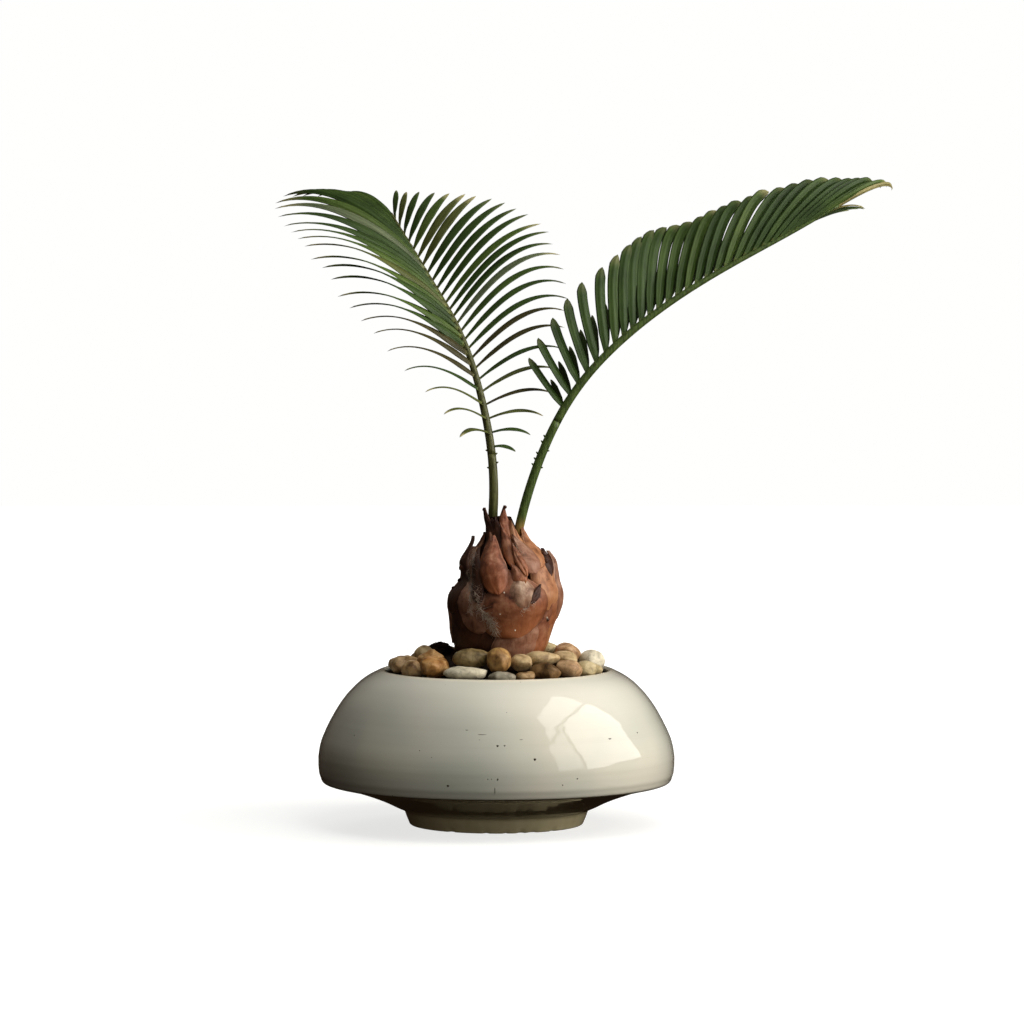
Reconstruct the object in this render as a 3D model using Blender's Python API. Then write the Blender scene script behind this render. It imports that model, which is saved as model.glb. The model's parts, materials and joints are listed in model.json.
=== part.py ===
"""A young sago palm in a glazed bowl: one bulb-like trunk, two feather fronds, pebbles over the soil.

Metres, +Z up. The origin is the middle of the bowl's flat underside. The palm's two fronds
reach to -X and +X, and -Y is the side that the palm is looked at from.
"""
import math
import random

import bmesh
import bpy
from mathutils import Matrix, Vector

MM = 0.001
UP = Vector((0, 0, 1))

# Clearance between pieces that touch
GAP = 0.3 * MM

# Bowl, turned about +Z: radius and height of the outer side, from the foot up to the mouth
BOWL_SIDES = 56
BOWL_OUTER_MM = (
    (0.0, 0.0), (52.6, 0.0), (53.7, 0.8), (56.6, 8.2), (58.2, 9.6), (62.6, 11.4),
    (70.3, 15.1), (80.0, 18.9), (91.5, 22.7), (104.4, 26.0), (106.4, 27.2), (108.4, 29.8), (110.0, 35.5),
    (110.0, 43.5), (108.3, 51.6), (104.9, 59.6), (101.2, 66.8), (96.9, 74.0), (91.6, 81.0),
    (84.8, 87.8), (79.0, 91.9), (72.5, 95.2), (69.8, 95.9),
)
# Inner side of the same wall, from the mouth down to the floor
BOWL_INNER_MM = (
    (68.3, 95.2), (68.6, 93.0), (75.5, 87.3), (86.0, 78.0), (96.5, 62.5), (103.0, 44.0),
    (102.5, 35.5), (95.5, 28.5), (75.0, 22.0), (58.0, 17.0), (0.0, 16.0),
)

# Soil: a low mound that is level where the trunk stands
GROUND = 104.0 * MM
LEVEL_RADIUS = 30.0 * MM
SOIL_MOUTH_RADIUS = 66.0 * MM
SOIL_MOUTH_HEIGHT = 89.5 * MM
SOIL_EDGE_MM = (73.0, 88.6)
SOIL_SLOPE_RINGS = 3

# Dark heap of soil beside the trunk, left of it and a little behind
HEAP_CENTRE = Vector((-39 * MM, 19 * MM, 0))
HEAP_RADIUS = 12.5 * MM
HEAP_HEIGHT = 11.0 * MM
HEAP_SUNK = 2.0 * MM
HEAP_SIDES = 14
HEAP_RING_SHARES = (0.0, 0.45, 0.8)
HEAP_WAVE = 0.08

# Trunk: a bulb with a neck, its middle line shifted to +X as it rises
TRUNK_FOOT = GROUND + GAP
TRUNK_TOP = 190.0 * MM
TRUNK_RADII_MM = (25.0, 27.0, 28.0, 28.8, 30.0, 31.0, 30.3, 27.2, 25.0, 22.4, 17.2, 11.6, 9.0, 7.8)
TRUNK_SHIFT_MM = (2.0, 3.2, 5.0, 6.0, 6.8, 5.4, 1.8)
TRUNK_SIDES = 22
TRUNK_STEPS = 14
TRUNK_WAVE = 0.025

# Scales of the trunk, tier by tier from the ground up: count, first heading in degrees,
# height of the root, length, width, how far the tip stands off and thickness, in millimetres
SCALE_TIERS = (
    (5, -62, 94, 52, 48, 1.5, 3.6),
    (5, -8, 116, 52, 42, 4.0, 3.4),
    (5, -106, 136, 42, 28, 4.6, 3.4),
    (6, -70, 152, 34, 17, 2.4, 2.6),
    (7, -40, 166, 32, 11, 1.0, 2.0),
)
SCALE_STEPS = 5
SCALE_FOOT_LIFT = 0.6 * MM
SCALE_SEED = 11
# Each scale differs from its tier: heading in radians and length as a share, foot in millimetres
SCALE_JITTER = 0.14
SCALE_FOOT_JITTER = 3
# Cross-section of a scale: place across its width and share of its thickness, and its inner edge
SCALE_SECTION = ((-1.0, 0.0), (-0.5, 0.75), (0.0, 1.0), (0.5, 0.75), (1.0, 0.0), (0.0, None))
# A scale's root is sunk in the trunk and comes out of it over this share of its length
ROOT_SUNK = 5.0 * MM
ROOT_SHARE = 0.3

# Pebbles that show at the front: place across and towards the front, length, width and height
# in millimetres, then the turn in degrees and the stone's kind
FRONT_PEBBLES = (
    (-57, -21, 18, 17, 13, 20, "tan"),
    (-46, -25, 17, 14, 13, 10, "ochre"),
    (-48, -39, 15, 13, 12, -30, "tan"),
    (-33, -50, 21, 17, 14, 25, "ochre"),
    (-20, -56, 29, 19, 8.5, -8, "pale"),
    (-3, -60, 17, 13, 8, 5, "grey"),
    (-16, -38, 24, 17, 11.5, 8, "olive"),
    (7, -49, 16, 20, 16, -10, "brown"),
    (19, -41, 13, 15, 11.5, 20, "sand"),
    (17, -57, 12, 12, 8.5, 20, "tan"),
    (31, -37, 22, 16, 10.5, 25, "sand"),
    (29, -53, 19, 16, 12, -14, "umber"),
    (43, -44, 19, 17, 13, -36, "rose"),
    (49, -25, 20, 16, 10, -60, "sand"),
    (57, -30, 14, 14, 11.5, -60, "cream"),
    (63, -15, 12, 11, 8, -70, "cream"),
)
# The other pebbles are dealt out in two rings and then moved apart
RING_PEBBLES = ((58 * MM, 2, 184, 12), (43 * MM, -4, 176, 8))
PEBBLE_LENGTH_MM = (14.5, 21.0)
PEBBLE_KINDS = ("tan", "ochre", "olive", "brown", "sand", "umber", "rose", "cream", "pale", "grey")
PEBBLE_MOUTH_RADIUS = 67.6 * MM
PEBBLE_GAP = 0.35 * MM
PEBBLE_ROUNDS = 400
PEBBLE_SEED = 5
# Room kept round the trunk's foot
TRUNK_CLEAR_RADIUS = 33.0 * MM

# Fronds. Angles are in degrees and lengths in millimetres. Leans from upright, rolls and radii
# are read along the midrib, spaced evenly from its root to its tip. The lists of a row are read
# over its leaflets, from the first to the last: the place on the midrib as a share of its length,
# the spread from the midrib, the rise over the frond's face, the droop by the tip, the tilt of the
# blade at its root, its twist by the tip, and the length. The droop goes towards "fall", more
# towards the tip the higher "bend" is, and the blade narrows from the share "taper_from" on.
LEFT_FROND = {
    "name": "left",
    "root_mm": (-1.8, 0.0, 196.0),
    "heading": 128.0,
    "length_mm": 215.4,
    "sunk_mm": 14.0,
    "leans": (-3.9, 15.0, 26.7, 42.9, 45.3, 44.0),
    "rolls": (0, 0, 4),
    "radii_mm": (3.0, 2.6, 2.1, 1.6, 1.2, 0.8),
    "bare_share": 0.15,
    "seed": 3,
    "rows": {
        1: {
            "count": 25,
            "places": (0.212, 0.412, 0.550, 0.685, 0.838, 0.977),
            "spreads": (89, 57, 57, 46, 22, 12),
            "rises": (35, 10, 19, 16, 1, -35),
            "droops": (29, 53, 50, 54, 64, 60),
            "fall": (0.0, 0.0, -1.0),
            "bend": 2.0,
            "tilts": (-48, 6, 56, 54, 42, -18),
            "twists": (-28, -82, -150, -88, -10, 21),
            "lengths_mm": (56, 74, 102, 106, 102, 48),
            "taper_from": 0.5,
        },
        -1: {
            "count": 26,
            "places": (0.174, 0.372, 0.530, 0.665, 0.820, 0.977),
            "spreads": (90, 62, 56, 60, 51, 27),
            "rises": (22, 13, 29, 44, 44, 23),
            "droops": (49, 48, 60, 40, 32, 40),
            "fall": (0.0, 0.0, -1.0),
            "bend": 2.0,
            "tilts": (-81, -72, -49, -35, -39, -85),
            "twists": (42, 35, 34, 33, 57, 86),
            "lengths_mm": (17, 73, 98, 84, 58, 32),
            "taper_from": 0.55,
        },
    },
}
RIGHT_FROND = {
    "name": "right",
    "root_mm": (14.4, 0.0, 185.2),
    "heading": 18.0,
    "length_mm": 299.3,
    "sunk_mm": 10.0,
    "leans": (13.8, 27.3, 47.5, 58.7, 63.7, 60.6),
    "rolls": (-33, -45, -50),
    "radii_mm": (3.0, 2.8, 2.5, 2.0, 1.5, 0.9),
    "bare_share": 0.235,
    "seed": 2,
    "rows": {
        1: {
            "count": 30,
            "places": (0.258, 0.423, 0.560, 0.702, 0.834, 0.942),
            "spreads": (59, 54, 51, 48, 35, 8),
            "rises": (66, 60, 56, 52, 46, 36),
            "droops": (8, 10, 12, 14, 20, 45),
            "fall": (0.0, 0.0, -1.0),
            "bend": 2.0,
            "tilts": (39, 17, 9, -2, -23, -20),
            "twists": (-12, -26, -31, -34, -33, -14),
            "lengths_mm": (28, 60, 80, 86, 84, 36),
            "taper_from": 0.6,
        },
        -1: {
            "count": 30,
            "places": (0.257, 0.423, 0.560, 0.702, 0.834, 0.942),
            "spreads": (66, 51, 48, 39, 19, 2),
            "rises": (76, 68, 94, 81, 53, 15),
            "droops": (20, 42, 55, 56, 77, 99),
            "fall": (0.5, 0.85, -0.1),
            "bend": 3.2,
            "tilts": (50, 16, 34, 30, 12, -16),
            "twists": (-3, -17, 0, 2, 0, 0),
            "lengths_mm": (40, 62, 84, 75, 76, 72),
            "taper_from": 0.86,
        },
    },
}
LEAFLET_WIDTH = 6.2 * MM
LEAFLET_THICKNESS = 1.0 * MM
LEAFLET_STEPS = 4
# Each leaflet differs a little from its row's rule, in degrees
LEAFLET_JITTER = 1.2
RIB_SIDES = 7
RIB_STEPS = 80
RIB_RING_EVERY = 4
# Room round a stalk's foot in the trunk, and how many steps of the midrib the socket follows
SOCKET_GAP = 1.2 * GAP
SOCKET_STEPS = 3 * RIB_RING_EVERY

# Colour, roughness and metallic of each finish
FINISHES = {
    "bowl_glaze": ((0.56, 0.53, 0.43), 0.12, 0.0),
    "soil_dark": ((0.030, 0.018, 0.012), 0.95, 0.0),
    "trunk_scale": ((0.27, 0.115, 0.070), 0.60, 0.0),
    "frond_stalk": ((0.085, 0.130, 0.035), 0.45, 0.0),
    "frond_blade": ((0.035, 0.105, 0.028), 0.42, 0.0),
    "pebble_tan": ((0.42, 0.28, 0.14), 0.55, 0.0),
    "pebble_ochre": ((0.50, 0.27, 0.10), 0.55, 0.0),
    "pebble_olive": ((0.27, 0.20, 0.10), 0.50, 0.0),
    "pebble_brown": ((0.30, 0.18, 0.085), 0.50, 0.0),
    "pebble_sand": ((0.50, 0.38, 0.24), 0.55, 0.0),
    "pebble_umber": ((0.14, 0.085, 0.045), 0.50, 0.0),
    "pebble_rose": ((0.48, 0.33, 0.23), 0.55, 0.0),
    "pebble_cream": ((0.62, 0.50, 0.35), 0.55, 0.0),
    "pebble_pale": ((0.62, 0.59, 0.54), 0.55, 0.0),
    "pebble_grey": ((0.25, 0.23, 0.20), 0.50, 0.0),
}


def finish(name):
    """The named material, made once."""
    found = bpy.data.materials.get(name)
    if found:
        return found
    colour, roughness, metallic = FINISHES[name]
    material = bpy.data.materials.new(name)
    material.use_nodes = True
    shader = material.node_tree.nodes["Principled BSDF"]
    shader.inputs["Base Color"].default_value = (*colour, 1.0)
    shader.inputs["Roughness"].default_value = roughness
    shader.inputs["Metallic"].default_value = metallic
    material.diffuse_color = (*colour, 1.0)
    return material


def new_object(name, points, faces, finish_name, smooth=True):
    """A mesh object from points and faces, its normals turned outward."""
    mesh = bpy.data.meshes.new(name)
    mesh.from_pydata([tuple(p) for p in points], [], faces)
    work = bmesh.new()
    work.from_mesh(mesh)
    bmesh.ops.recalc_face_normals(work, faces=work.faces)
    work.to_mesh(mesh)
    work.free()
    for polygon in mesh.polygons:
        polygon.use_smooth = smooth
    mesh.materials.append(finish(finish_name))
    made = bpy.data.objects.new(name, mesh)
    bpy.context.scene.collection.objects.link(made)
    return made


def along(values, share):
    """The smooth curve through evenly spaced values, read at a share of its length."""
    last = len(values) - 1
    place = min(max(share, 0.0), 1.0) * last
    i = min(int(place), last - 1)
    t = place - i
    b, c = values[i], values[i + 1]
    a = values[i - 1] if i > 0 else 2 * b - c
    d = values[i + 2] if i + 2 <= last else 2 * c - b
    square = 2 * a - 5 * b + 4 * c - d
    cube = 3 * b - a - 3 * c + d
    return 0.5 * (2 * b + (c - a) * t + square * t ** 2 + cube * t ** 3)


def rings_to_solid(rings, start, end):
    """Points and faces of a skin over rings of equal size, closed at a point or by a flat end."""
    points = []
    faces = []
    size = len(rings[0])
    for ring in rings:
        points += ring
    for r in range(len(rings) - 1):
        for k in range(size):
            a = r * size + k
            b = r * size + (k + 1) % size
            faces.append((a, b, b + size, a + size))
    for place, first in ((start, 0), (end, (len(rings) - 1) * size)):
        if place is None:
            faces.append(tuple(range(first, first + size)))
            continue
        points.append(place)
        for k in range(size):
            faces.append((first + k, first + (k + 1) % size, len(points) - 1))
    return points, faces


def turned(name, profile, sides, finish_name):
    """A solid turned about +Z from (radius, height) points that start and end on the axis."""
    rings = []
    for radius, height in profile[1:-1]:
        ring = []
        for k in range(sides):
            angle = math.tau * k / sides
            ring.append(Vector((radius * math.cos(angle), radius * math.sin(angle), height)))
        rings.append(ring)
    ends = [Vector((0, 0, profile[i][1])) for i in (0, -1)]
    points, faces = rings_to_solid(rings, *ends)
    return new_object(name, points, faces, finish_name)


def metres(pairs):
    """Pairs of millimetres in metres."""
    return [(a * MM, b * MM) for a, b in pairs]


def make_bowl():
    """The bowl: a wide belly, a sharp lower lip over a sloping underside, and a low foot."""
    return turned("pot", metres(BOWL_OUTER_MM + BOWL_INNER_MM), BOWL_SIDES, "bowl_glaze")


def inset(profile, distance):
    """The same line moved sideways, towards the axis and up, by a distance."""
    moved = []
    for i, (radius, height) in enumerate(profile):
        before = profile[max(i - 1, 0)]
        after = profile[min(i + 1, len(profile) - 1)]
        run = Vector((after[0] - before[0], after[1] - before[1])).normalized()
        moved.append((max(radius + run.y * distance, 0.0), height - run.x * distance))
    return moved


def soil_height(radius):
    """Height of the soil at a distance from the axis."""
    if radius <= LEVEL_RADIUS:
        return GROUND
    share = (radius - LEVEL_RADIUS) / (SOIL_MOUTH_RADIUS - LEVEL_RADIUS)
    return GROUND + (SOIL_MOUTH_HEIGHT - GROUND) * share


def make_soil():
    """The soil that fills the bowl, level round the trunk and lower at the mouth."""
    wall = [p for p in metres(BOWL_INNER_MM) if p[1] < SOIL_EDGE_MM[1] * MM - 2 * MM]
    profile = [(0.0, GROUND), (LEVEL_RADIUS, GROUND)]
    for i in range(1, SOIL_SLOPE_RINGS + 1):
        radius = LEVEL_RADIUS + (SOIL_MOUTH_RADIUS - LEVEL_RADIUS) * i / SOIL_SLOPE_RINGS
        profile.append((radius, soil_height(radius)))
    profile.append((SOIL_EDGE_MM[0] * MM, SOIL_EDGE_MM[1] * MM))
    profile += inset(wall, 1.5 * GAP)
    return turned("soil", profile, BOWL_SIDES // 2, "soil_dark")


def make_heap():
    """The dark heap of soil, a low dome seated on the mound."""
    rings = []
    for share in HEAP_RING_SHARES:
        climb = share * math.pi / 2
        ring = []
        for k in range(HEAP_SIDES):
            angle = math.tau * k / HEAP_SIDES
            radius = HEAP_RADIUS * math.cos(climb) * (1 + HEAP_WAVE * math.sin(3 * angle))
            place = HEAP_CENTRE + Vector((radius * math.cos(angle), radius * math.sin(angle), 0))
            foot = soil_height(place.length) - HEAP_SUNK
            ring.append(place + UP * (foot + (HEAP_HEIGHT + HEAP_SUNK) * math.sin(climb)))
        rings.append(ring)
    top = HEAP_CENTRE + UP * (soil_height(HEAP_CENTRE.length) + HEAP_HEIGHT)
    return rings_to_solid(rings, None, top)


def trunk_share(height):
    """Share of the trunk's height."""
    return (height - TRUNK_FOOT) / (TRUNK_TOP - TRUNK_FOOT)


def trunk_radius(height):
    """Radius of the trunk under its scales."""
    return along(TRUNK_RADII_MM, trunk_share(height)) * MM


def trunk_middle(height):
    """The trunk's middle line."""
    return Vector((along(TRUNK_SHIFT_MM, trunk_share(height)) * MM, 0, height))


def make_trunk_core():
    """The bulb and neck under the scales, cut flat at the ground."""
    rings = []
    for i in range(TRUNK_STEPS + 1):
        height = TRUNK_FOOT + (TRUNK_TOP - TRUNK_FOOT) * i / TRUNK_STEPS
        middle = trunk_middle(height)
        ring = []
        for k in range(TRUNK_SIDES):
            angle = math.tau * k / TRUNK_SIDES
            radius = trunk_radius(height) * (1 + TRUNK_WAVE * math.sin(3 * angle + 0.9 * i))
            ring.append(middle + Vector((radius * math.cos(angle), radius * math.sin(angle), 0)))
        rings.append(ring)
    points, faces = rings_to_solid(rings, None, None)
    return new_object("caudex", points, faces, "trunk_scale")


def scale_rings(heading, foot, length, width, stand_off, thickness, steps):
    """Rings of one pointed scale that hugs the trunk and stands off it at the tip."""
    rings = []
    lowest = TRUNK_FOOT + SCALE_FOOT_LIFT
    hidden = max((lowest - foot) / length, 0.0)
    for i in range(steps):
        share = hidden + (1 - hidden) * i / steps
        height = foot + length * share
        middle = trunk_middle(min(height, TRUNK_TOP))
        hug = trunk_radius(min(height, TRUNK_TOP))
        outer = hug + stand_off * share ** 2
        half = 0.5 * width * (1 - share ** 1.7) ** 0.75 * (0.86 + 0.5 * share * (1 - share))
        thick = thickness * (1 - 0.55 * share)
        sunk = ROOT_SUNK * max(1 - share / ROOT_SHARE, 0.0)
        inner_depth = hug * 0.35 * (1 - share) + thick * 0.6
        ring = []
        for across, lift in SCALE_SECTION:
            turn = heading + across * min(half / hug, 1.25)
            reach = outer - inner_depth if lift is None else outer + thick * lift - sunk
            outward = Vector((math.cos(turn), math.sin(turn), 0))
            ring.append(Vector((middle.x, middle.y, height)) + outward * reach)
        rings.append(ring)
    return rings


def make_scales():
    """Every scale as points and faces, tier by tier."""
    scales = []
    dice = random.Random(SCALE_SEED)
    for count, first, foot, length, width, stand_off, thickness in SCALE_TIERS:
        for i in range(count):
            heading = math.radians(first + 360 * i / count) + dice.uniform(-1, 1) * SCALE_JITTER
            foot_height = foot + dice.uniform(-1, 1) * SCALE_FOOT_JITTER
            long = length * (1 + dice.uniform(-1, 1) * SCALE_JITTER)
            rings = scale_rings(heading, foot_height * MM, long * MM, width * MM,
                                stand_off * MM, thickness * MM, SCALE_STEPS)
            tip_height = (foot_height + long) * MM
            near = min(tip_height, TRUNK_TOP)
            middle = trunk_middle(near)
            outward = Vector((math.cos(heading), math.sin(heading), 0))
            tip = Vector((middle.x, middle.y, tip_height)) + outward * (trunk_radius(near) + stand_off * MM)
            scales.append(rings_to_solid(rings, None, tip))
    return scales


def join_solids(base, solids, finish_name, operation="UNION"):
    """One Boolean with a collection of solids, applied, after which the solids are removed.

    The exact solver leaves edges with one or three faces where many leaflets or scales cross.
    """
    group = bpy.data.collections.new(base.name + "_group")
    bpy.context.scene.collection.children.link(group)
    for i, (points, faces) in enumerate(solids):
        made = new_object(f"{base.name}_{i}", points, faces, finish_name)
        bpy.context.scene.collection.objects.unlink(made)
        group.objects.link(made)
    cut = base.modifiers.new("join", "BOOLEAN")
    cut.operand_type = "COLLECTION"
    cut.collection = group
    cut.operation = operation
    cut.solver = "MANIFOLD"
    graph = bpy.context.evaluated_depsgraph_get()
    joined = bpy.data.meshes.new_from_object(base.evaluated_get(graph))
    base.modifiers.clear()
    old = base.data
    base.data = joined
    bpy.data.meshes.remove(old)
    for made in list(group.objects):
        bpy.data.objects.remove(made)
    bpy.data.collections.remove(group)
    cut_into_triangles(base)
    keep_outer_skin(base)


def cut_into_triangles(made):
    """Cut the faces into triangles, with no diagonal that two neighbouring faces share."""
    work = bmesh.new()
    work.from_mesh(made.data)
    for face in [f for f in work.faces if len(f.verts) > 3]:
        pieces = bmesh.ops.triangulate(work, faces=[face])["faces"]
        inner = {e for piece in pieces for e in piece.edges if len(e.link_faces) > 2}
        for edge in inner:
            pair = [f for f in edge.link_faces if f in pieces]
            if len(pair) == 2:
                pieces = [f for f in pieces if f not in pair] + turn_diagonal(work, edge, pair)
    bmesh.ops.recalc_face_normals(work, faces=work.faces)
    work.to_mesh(made.data)
    work.free()


def turn_diagonal(work, edge, pair):
    """Two triangles that share the edge, remade on the other diagonal of their four corners."""
    ends = list(edge.verts)
    tips = [v for f in pair for v in f.verts if v not in ends]
    for face in pair:
        work.faces.remove(face)
    made = [work.faces.new((tips[0], tips[1], end)) for end in ends]
    for face in made:
        face.smooth = True
    return made


def keep_outer_skin(made):
    """Drop every loose skin but the largest, which fills sealed hollows and removes scraps."""
    work = bmesh.new()
    work.from_mesh(made.data)
    left = set(work.faces)
    skins = []
    while left:
        reached = [left.pop()]
        skin = list(reached)
        while reached:
            for edge in reached.pop().edges:
                for face in edge.link_faces:
                    if face in left:
                        left.remove(face)
                        skin.append(face)
                        reached.append(face)
        skins.append(skin)
    skins.sort(key=skin_size)
    for skin in skins[:-1]:
        bmesh.ops.delete(work, geom=skin, context="FACES")
    work.to_mesh(made.data)
    work.free()


def skin_size(skin):
    """Diagonal of the box round some faces."""
    places = [v.co for face in skin for v in face.verts]
    spans = [max(p[i] for p in places) - min(p[i] for p in places) for i in range(3)]
    return Vector(spans).length


def midrib(frond, steps=RIB_STEPS):
    """Points and frames (along, side, face) of a frond's midrib, from its root to its tip."""
    place = Vector(frond["root_mm"]) * MM
    heading = math.radians(frond["heading"])
    out = Vector((math.cos(heading), math.sin(heading), 0))
    side = Vector((-math.sin(heading), math.cos(heading), 0))
    step = frond["length_mm"] * MM / steps
    line = []
    for i in range(steps + 1):
        share = i / steps
        lean = math.radians(along(frond["leans"], share))
        roll = math.radians(along(frond["rolls"], share))
        forward = out * math.sin(lean) + UP * math.cos(lean)
        face = UP * math.sin(lean) - out * math.cos(lean)
        rolled_side = side * math.cos(roll) + face * math.sin(roll)
        rolled_face = face * math.cos(roll) - side * math.sin(roll)
        line.append((place.copy(), (forward, rolled_side, rolled_face)))
        place = place + forward * step
    return line


def rib_radius(frond, share):
    """Radius of the midrib at a share of its length."""
    return along(frond["radii_mm"], share) * MM


def rib_solid(frond, line, first, last, extra=0.0, sunk=0.0):
    """The midrib between two steps as points and faces."""
    steps = len(line) - 1
    rings = []
    places = list(range(first, last + 1, RIB_RING_EVERY))
    if places[-1] != last:
        places.append(last)
    for i in places:
        place, (forward, side, face) = line[i]
        radius = rib_radius(frond, i / steps) + extra
        ring = []
        for k in range(RIB_SIDES):
            angle = math.tau * k / RIB_SIDES
            ring.append(place + side * radius * math.cos(angle) + face * radius * math.sin(angle))
        rings.append(ring)
    if sunk:
        forward = line[first][1][0]
        rings.insert(0, [p - forward * sunk for p in rings[0]])
    return rings_to_solid(rings, None, None)


def leaflet_spine(frond, line, row, order, steps):
    """Points, directions and blade axes of one leaflet, from the midrib out to its tip."""
    laws = frond["rows"][row]
    place_share = order / (laws["count"] - 1)
    share = along(laws["places"], place_share)
    position = share * (len(line) - 1)
    i = min(int(position), len(line) - 2)
    root = line[i][0].lerp(line[i + 1][0], position - i)
    forward, side, face = line[i][1]
    dice = random.Random(1000 * frond["seed"] + 2 * order + (row > 0))
    spread = math.radians(along(laws["spreads"], place_share) + dice.uniform(-1, 1) * LEAFLET_JITTER)
    rise = math.radians(along(laws["rises"], place_share) + dice.uniform(-1, 1) * LEAFLET_JITTER)
    droop = math.radians(along(laws["droops"], place_share))
    tilt = math.radians(along(laws["tilts"], place_share))
    twist = math.radians(along(laws["twists"], place_share))
    length = along(laws["lengths_mm"], place_share) * MM
    outward = side * row * math.cos(rise) + face * math.sin(rise)
    direction = forward * math.cos(spread) + outward * math.sin(spread)
    flat = forward * math.sin(spread) - outward * math.cos(spread)
    upright = flat.cross(direction) * row
    fall = Vector(laws["fall"])
    fall = (fall - direction * direction.dot(fall)).normalized()
    hinge = direction.cross(fall)
    spine = []
    place = root
    for k in range(steps + 1):
        turn = Matrix.Rotation(droop * (k / steps) ** laws["bend"], 3, hinge)
        angle = tilt + twist * k / steps
        across = flat * math.cos(angle) + upright * math.sin(angle)
        spine.append((place, turn @ direction, turn @ across))
        next_turn = Matrix.Rotation(droop * ((k + 0.5) / steps) ** laws["bend"], 3, hinge)
        place = place + next_turn @ direction * (length / steps)
    return spine


def leaflet_solid(frond, line, row, order, steps=LEAFLET_STEPS):
    """One leaflet: a thin strip, flat above and ridged below, that ends in a point."""
    spine = leaflet_spine(frond, line, row, order, steps)
    rings = []
    for k, (place, heading, across) in enumerate(spine[:-1]):
        share = k / steps
        pointed = min((1 - share) / (1 - frond["rows"][row]["taper_from"]), 1.0) ** 0.6
        half = 0.5 * LEAFLET_WIDTH * min(0.5 + 2.4 * share, 1.0) * pointed
        thick = LEAFLET_THICKNESS * (1 - 0.3 * share)
        below = across.cross(heading)
        rings.append([place - across * half, place + across * half, place + below * thick])
    return rings_to_solid(rings, None, spine[-1][0])


def make_frond(frond):
    """A frond as a bare stalk and a blade, the blade's leaflets fused to its midrib."""
    line = midrib(frond)
    split = int(frond["bare_share"] * RIB_STEPS)
    points, faces = rib_solid(frond, line, 0, split, sunk=frond["sunk_mm"] * MM)
    new_object(frond["name"] + "_stalk", points, faces, "frond_stalk")
    points, faces = rib_solid(frond, line, split, RIB_STEPS)
    forward = line[split][1][0]
    points = [p + forward * GAP if i < RIB_SIDES else p for i, p in enumerate(points)]
    blade = new_object(frond["name"] + "_blade", points, faces, "frond_blade")
    leaflets = []
    for row in frond["rows"]:
        for order in range(frond["rows"][row]["count"]):
            leaflets.append(leaflet_solid(frond, line, row, order))
    join_solids(blade, leaflets, "frond_blade")


def make_trunk():
    """The trunk with its scales fused on and a socket for each stalk."""
    trunk = make_trunk_core()
    join_solids(trunk, make_scales(), "trunk_scale")
    sockets = []
    for frond in (LEFT_FROND, RIGHT_FROND):
        depth = frond["sunk_mm"] * MM + GAP
        sockets.append(rib_solid(frond, midrib(frond), 0, SOCKET_STEPS, extra=SOCKET_GAP, sunk=depth))
    join_solids(trunk, sockets, "trunk_scale", operation="DIFFERENCE")


def pebble_axes(turn):
    """Level axes of a pebble that is turned about +Z."""
    return Vector((math.cos(turn), math.sin(turn), 0)), Vector((-math.sin(turn), math.cos(turn), 0))


def reach_towards(pebble, direction):
    """How far a pebble reaches from its middle in a direction."""
    a, b = pebble_axes(pebble["turn"])
    long, wide, high = pebble["half"]
    return Vector((long * a.dot(direction), wide * b.dot(direction), high * direction.z)).length


def lay_pebbles():
    """Sizes and places of all the pebbles, moved apart until none touch."""
    dice = random.Random(PEBBLE_SEED)
    pebbles = []
    for x, y, long, wide, high, turn, kind in FRONT_PEBBLES:
        place = Vector((x, y, 0)) * MM
        half = [size * MM / 2 for size in (long, wide, high)]
        pebbles.append({"at": place, "half": half, "turn": math.radians(turn), "kind": kind, "firm": 0.15})
    for radius, first, last, count in RING_PEBBLES:
        for i in range(count):
            angle = math.radians(first + (last - first) * i / (count - 1))
            place = Vector((math.cos(angle), math.sin(angle), 0)) * radius
            half_length = dice.uniform(*PEBBLE_LENGTH_MM) * MM / 2
            half = [half_length, half_length * dice.uniform(0.7, 0.85), half_length * dice.uniform(0.6, 0.8)]
            turn = angle + dice.uniform(0.9, 2.2)
            kind = dice.choice(PEBBLE_KINDS)
            pebbles.append({"at": place, "half": half, "turn": turn, "kind": kind, "firm": 1.0})
    for _ in range(PEBBLE_ROUNDS):
        move_apart(pebbles)
    for pebble in pebbles:
        seat(pebble)
    return pebbles


def seat(pebble):
    """Rest a pebble on the slope of the soil."""
    radius = pebble["at"].xy.length
    slope = (soil_height(radius + MM) - soil_height(radius - MM)) / (2 * MM)
    outward = Vector((pebble["at"].x, pebble["at"].y, 0)).normalized()
    normal = (UP - outward * slope).normalized()
    lift = (reach_towards(pebble, -normal) + PEBBLE_GAP) / normal.z
    pebble["at"].z = soil_height(radius) + lift


def move_apart(pebbles):
    """One round of moving pebbles away from each other, the trunk, the heap and the bowl's mouth."""
    for pebble in pebbles:
        seat(pebble)
    for i, one in enumerate(pebbles):
        for other in pebbles[i + 1:]:
            between = other["at"] - one["at"]
            distance = between.length
            direction = between / distance
            reach = reach_towards(one, direction) + reach_towards(other, direction)
            short = reach + PEBBLE_GAP - distance
            if short > 0:
                push = Vector((direction.x, direction.y, 0)) * short * 0.5
                total = one["firm"] + other["firm"]
                one["at"] -= push * 2 * one["firm"] / total
                other["at"] += push * 2 * other["firm"] / total
                if short > 0.5 * MM:
                    smaller = one if one["firm"] > other["firm"] else other
                    smaller["half"] = [h * 0.998 for h in smaller["half"]]
    for pebble in pebbles:
        keep_between_walls(pebble)


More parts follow.
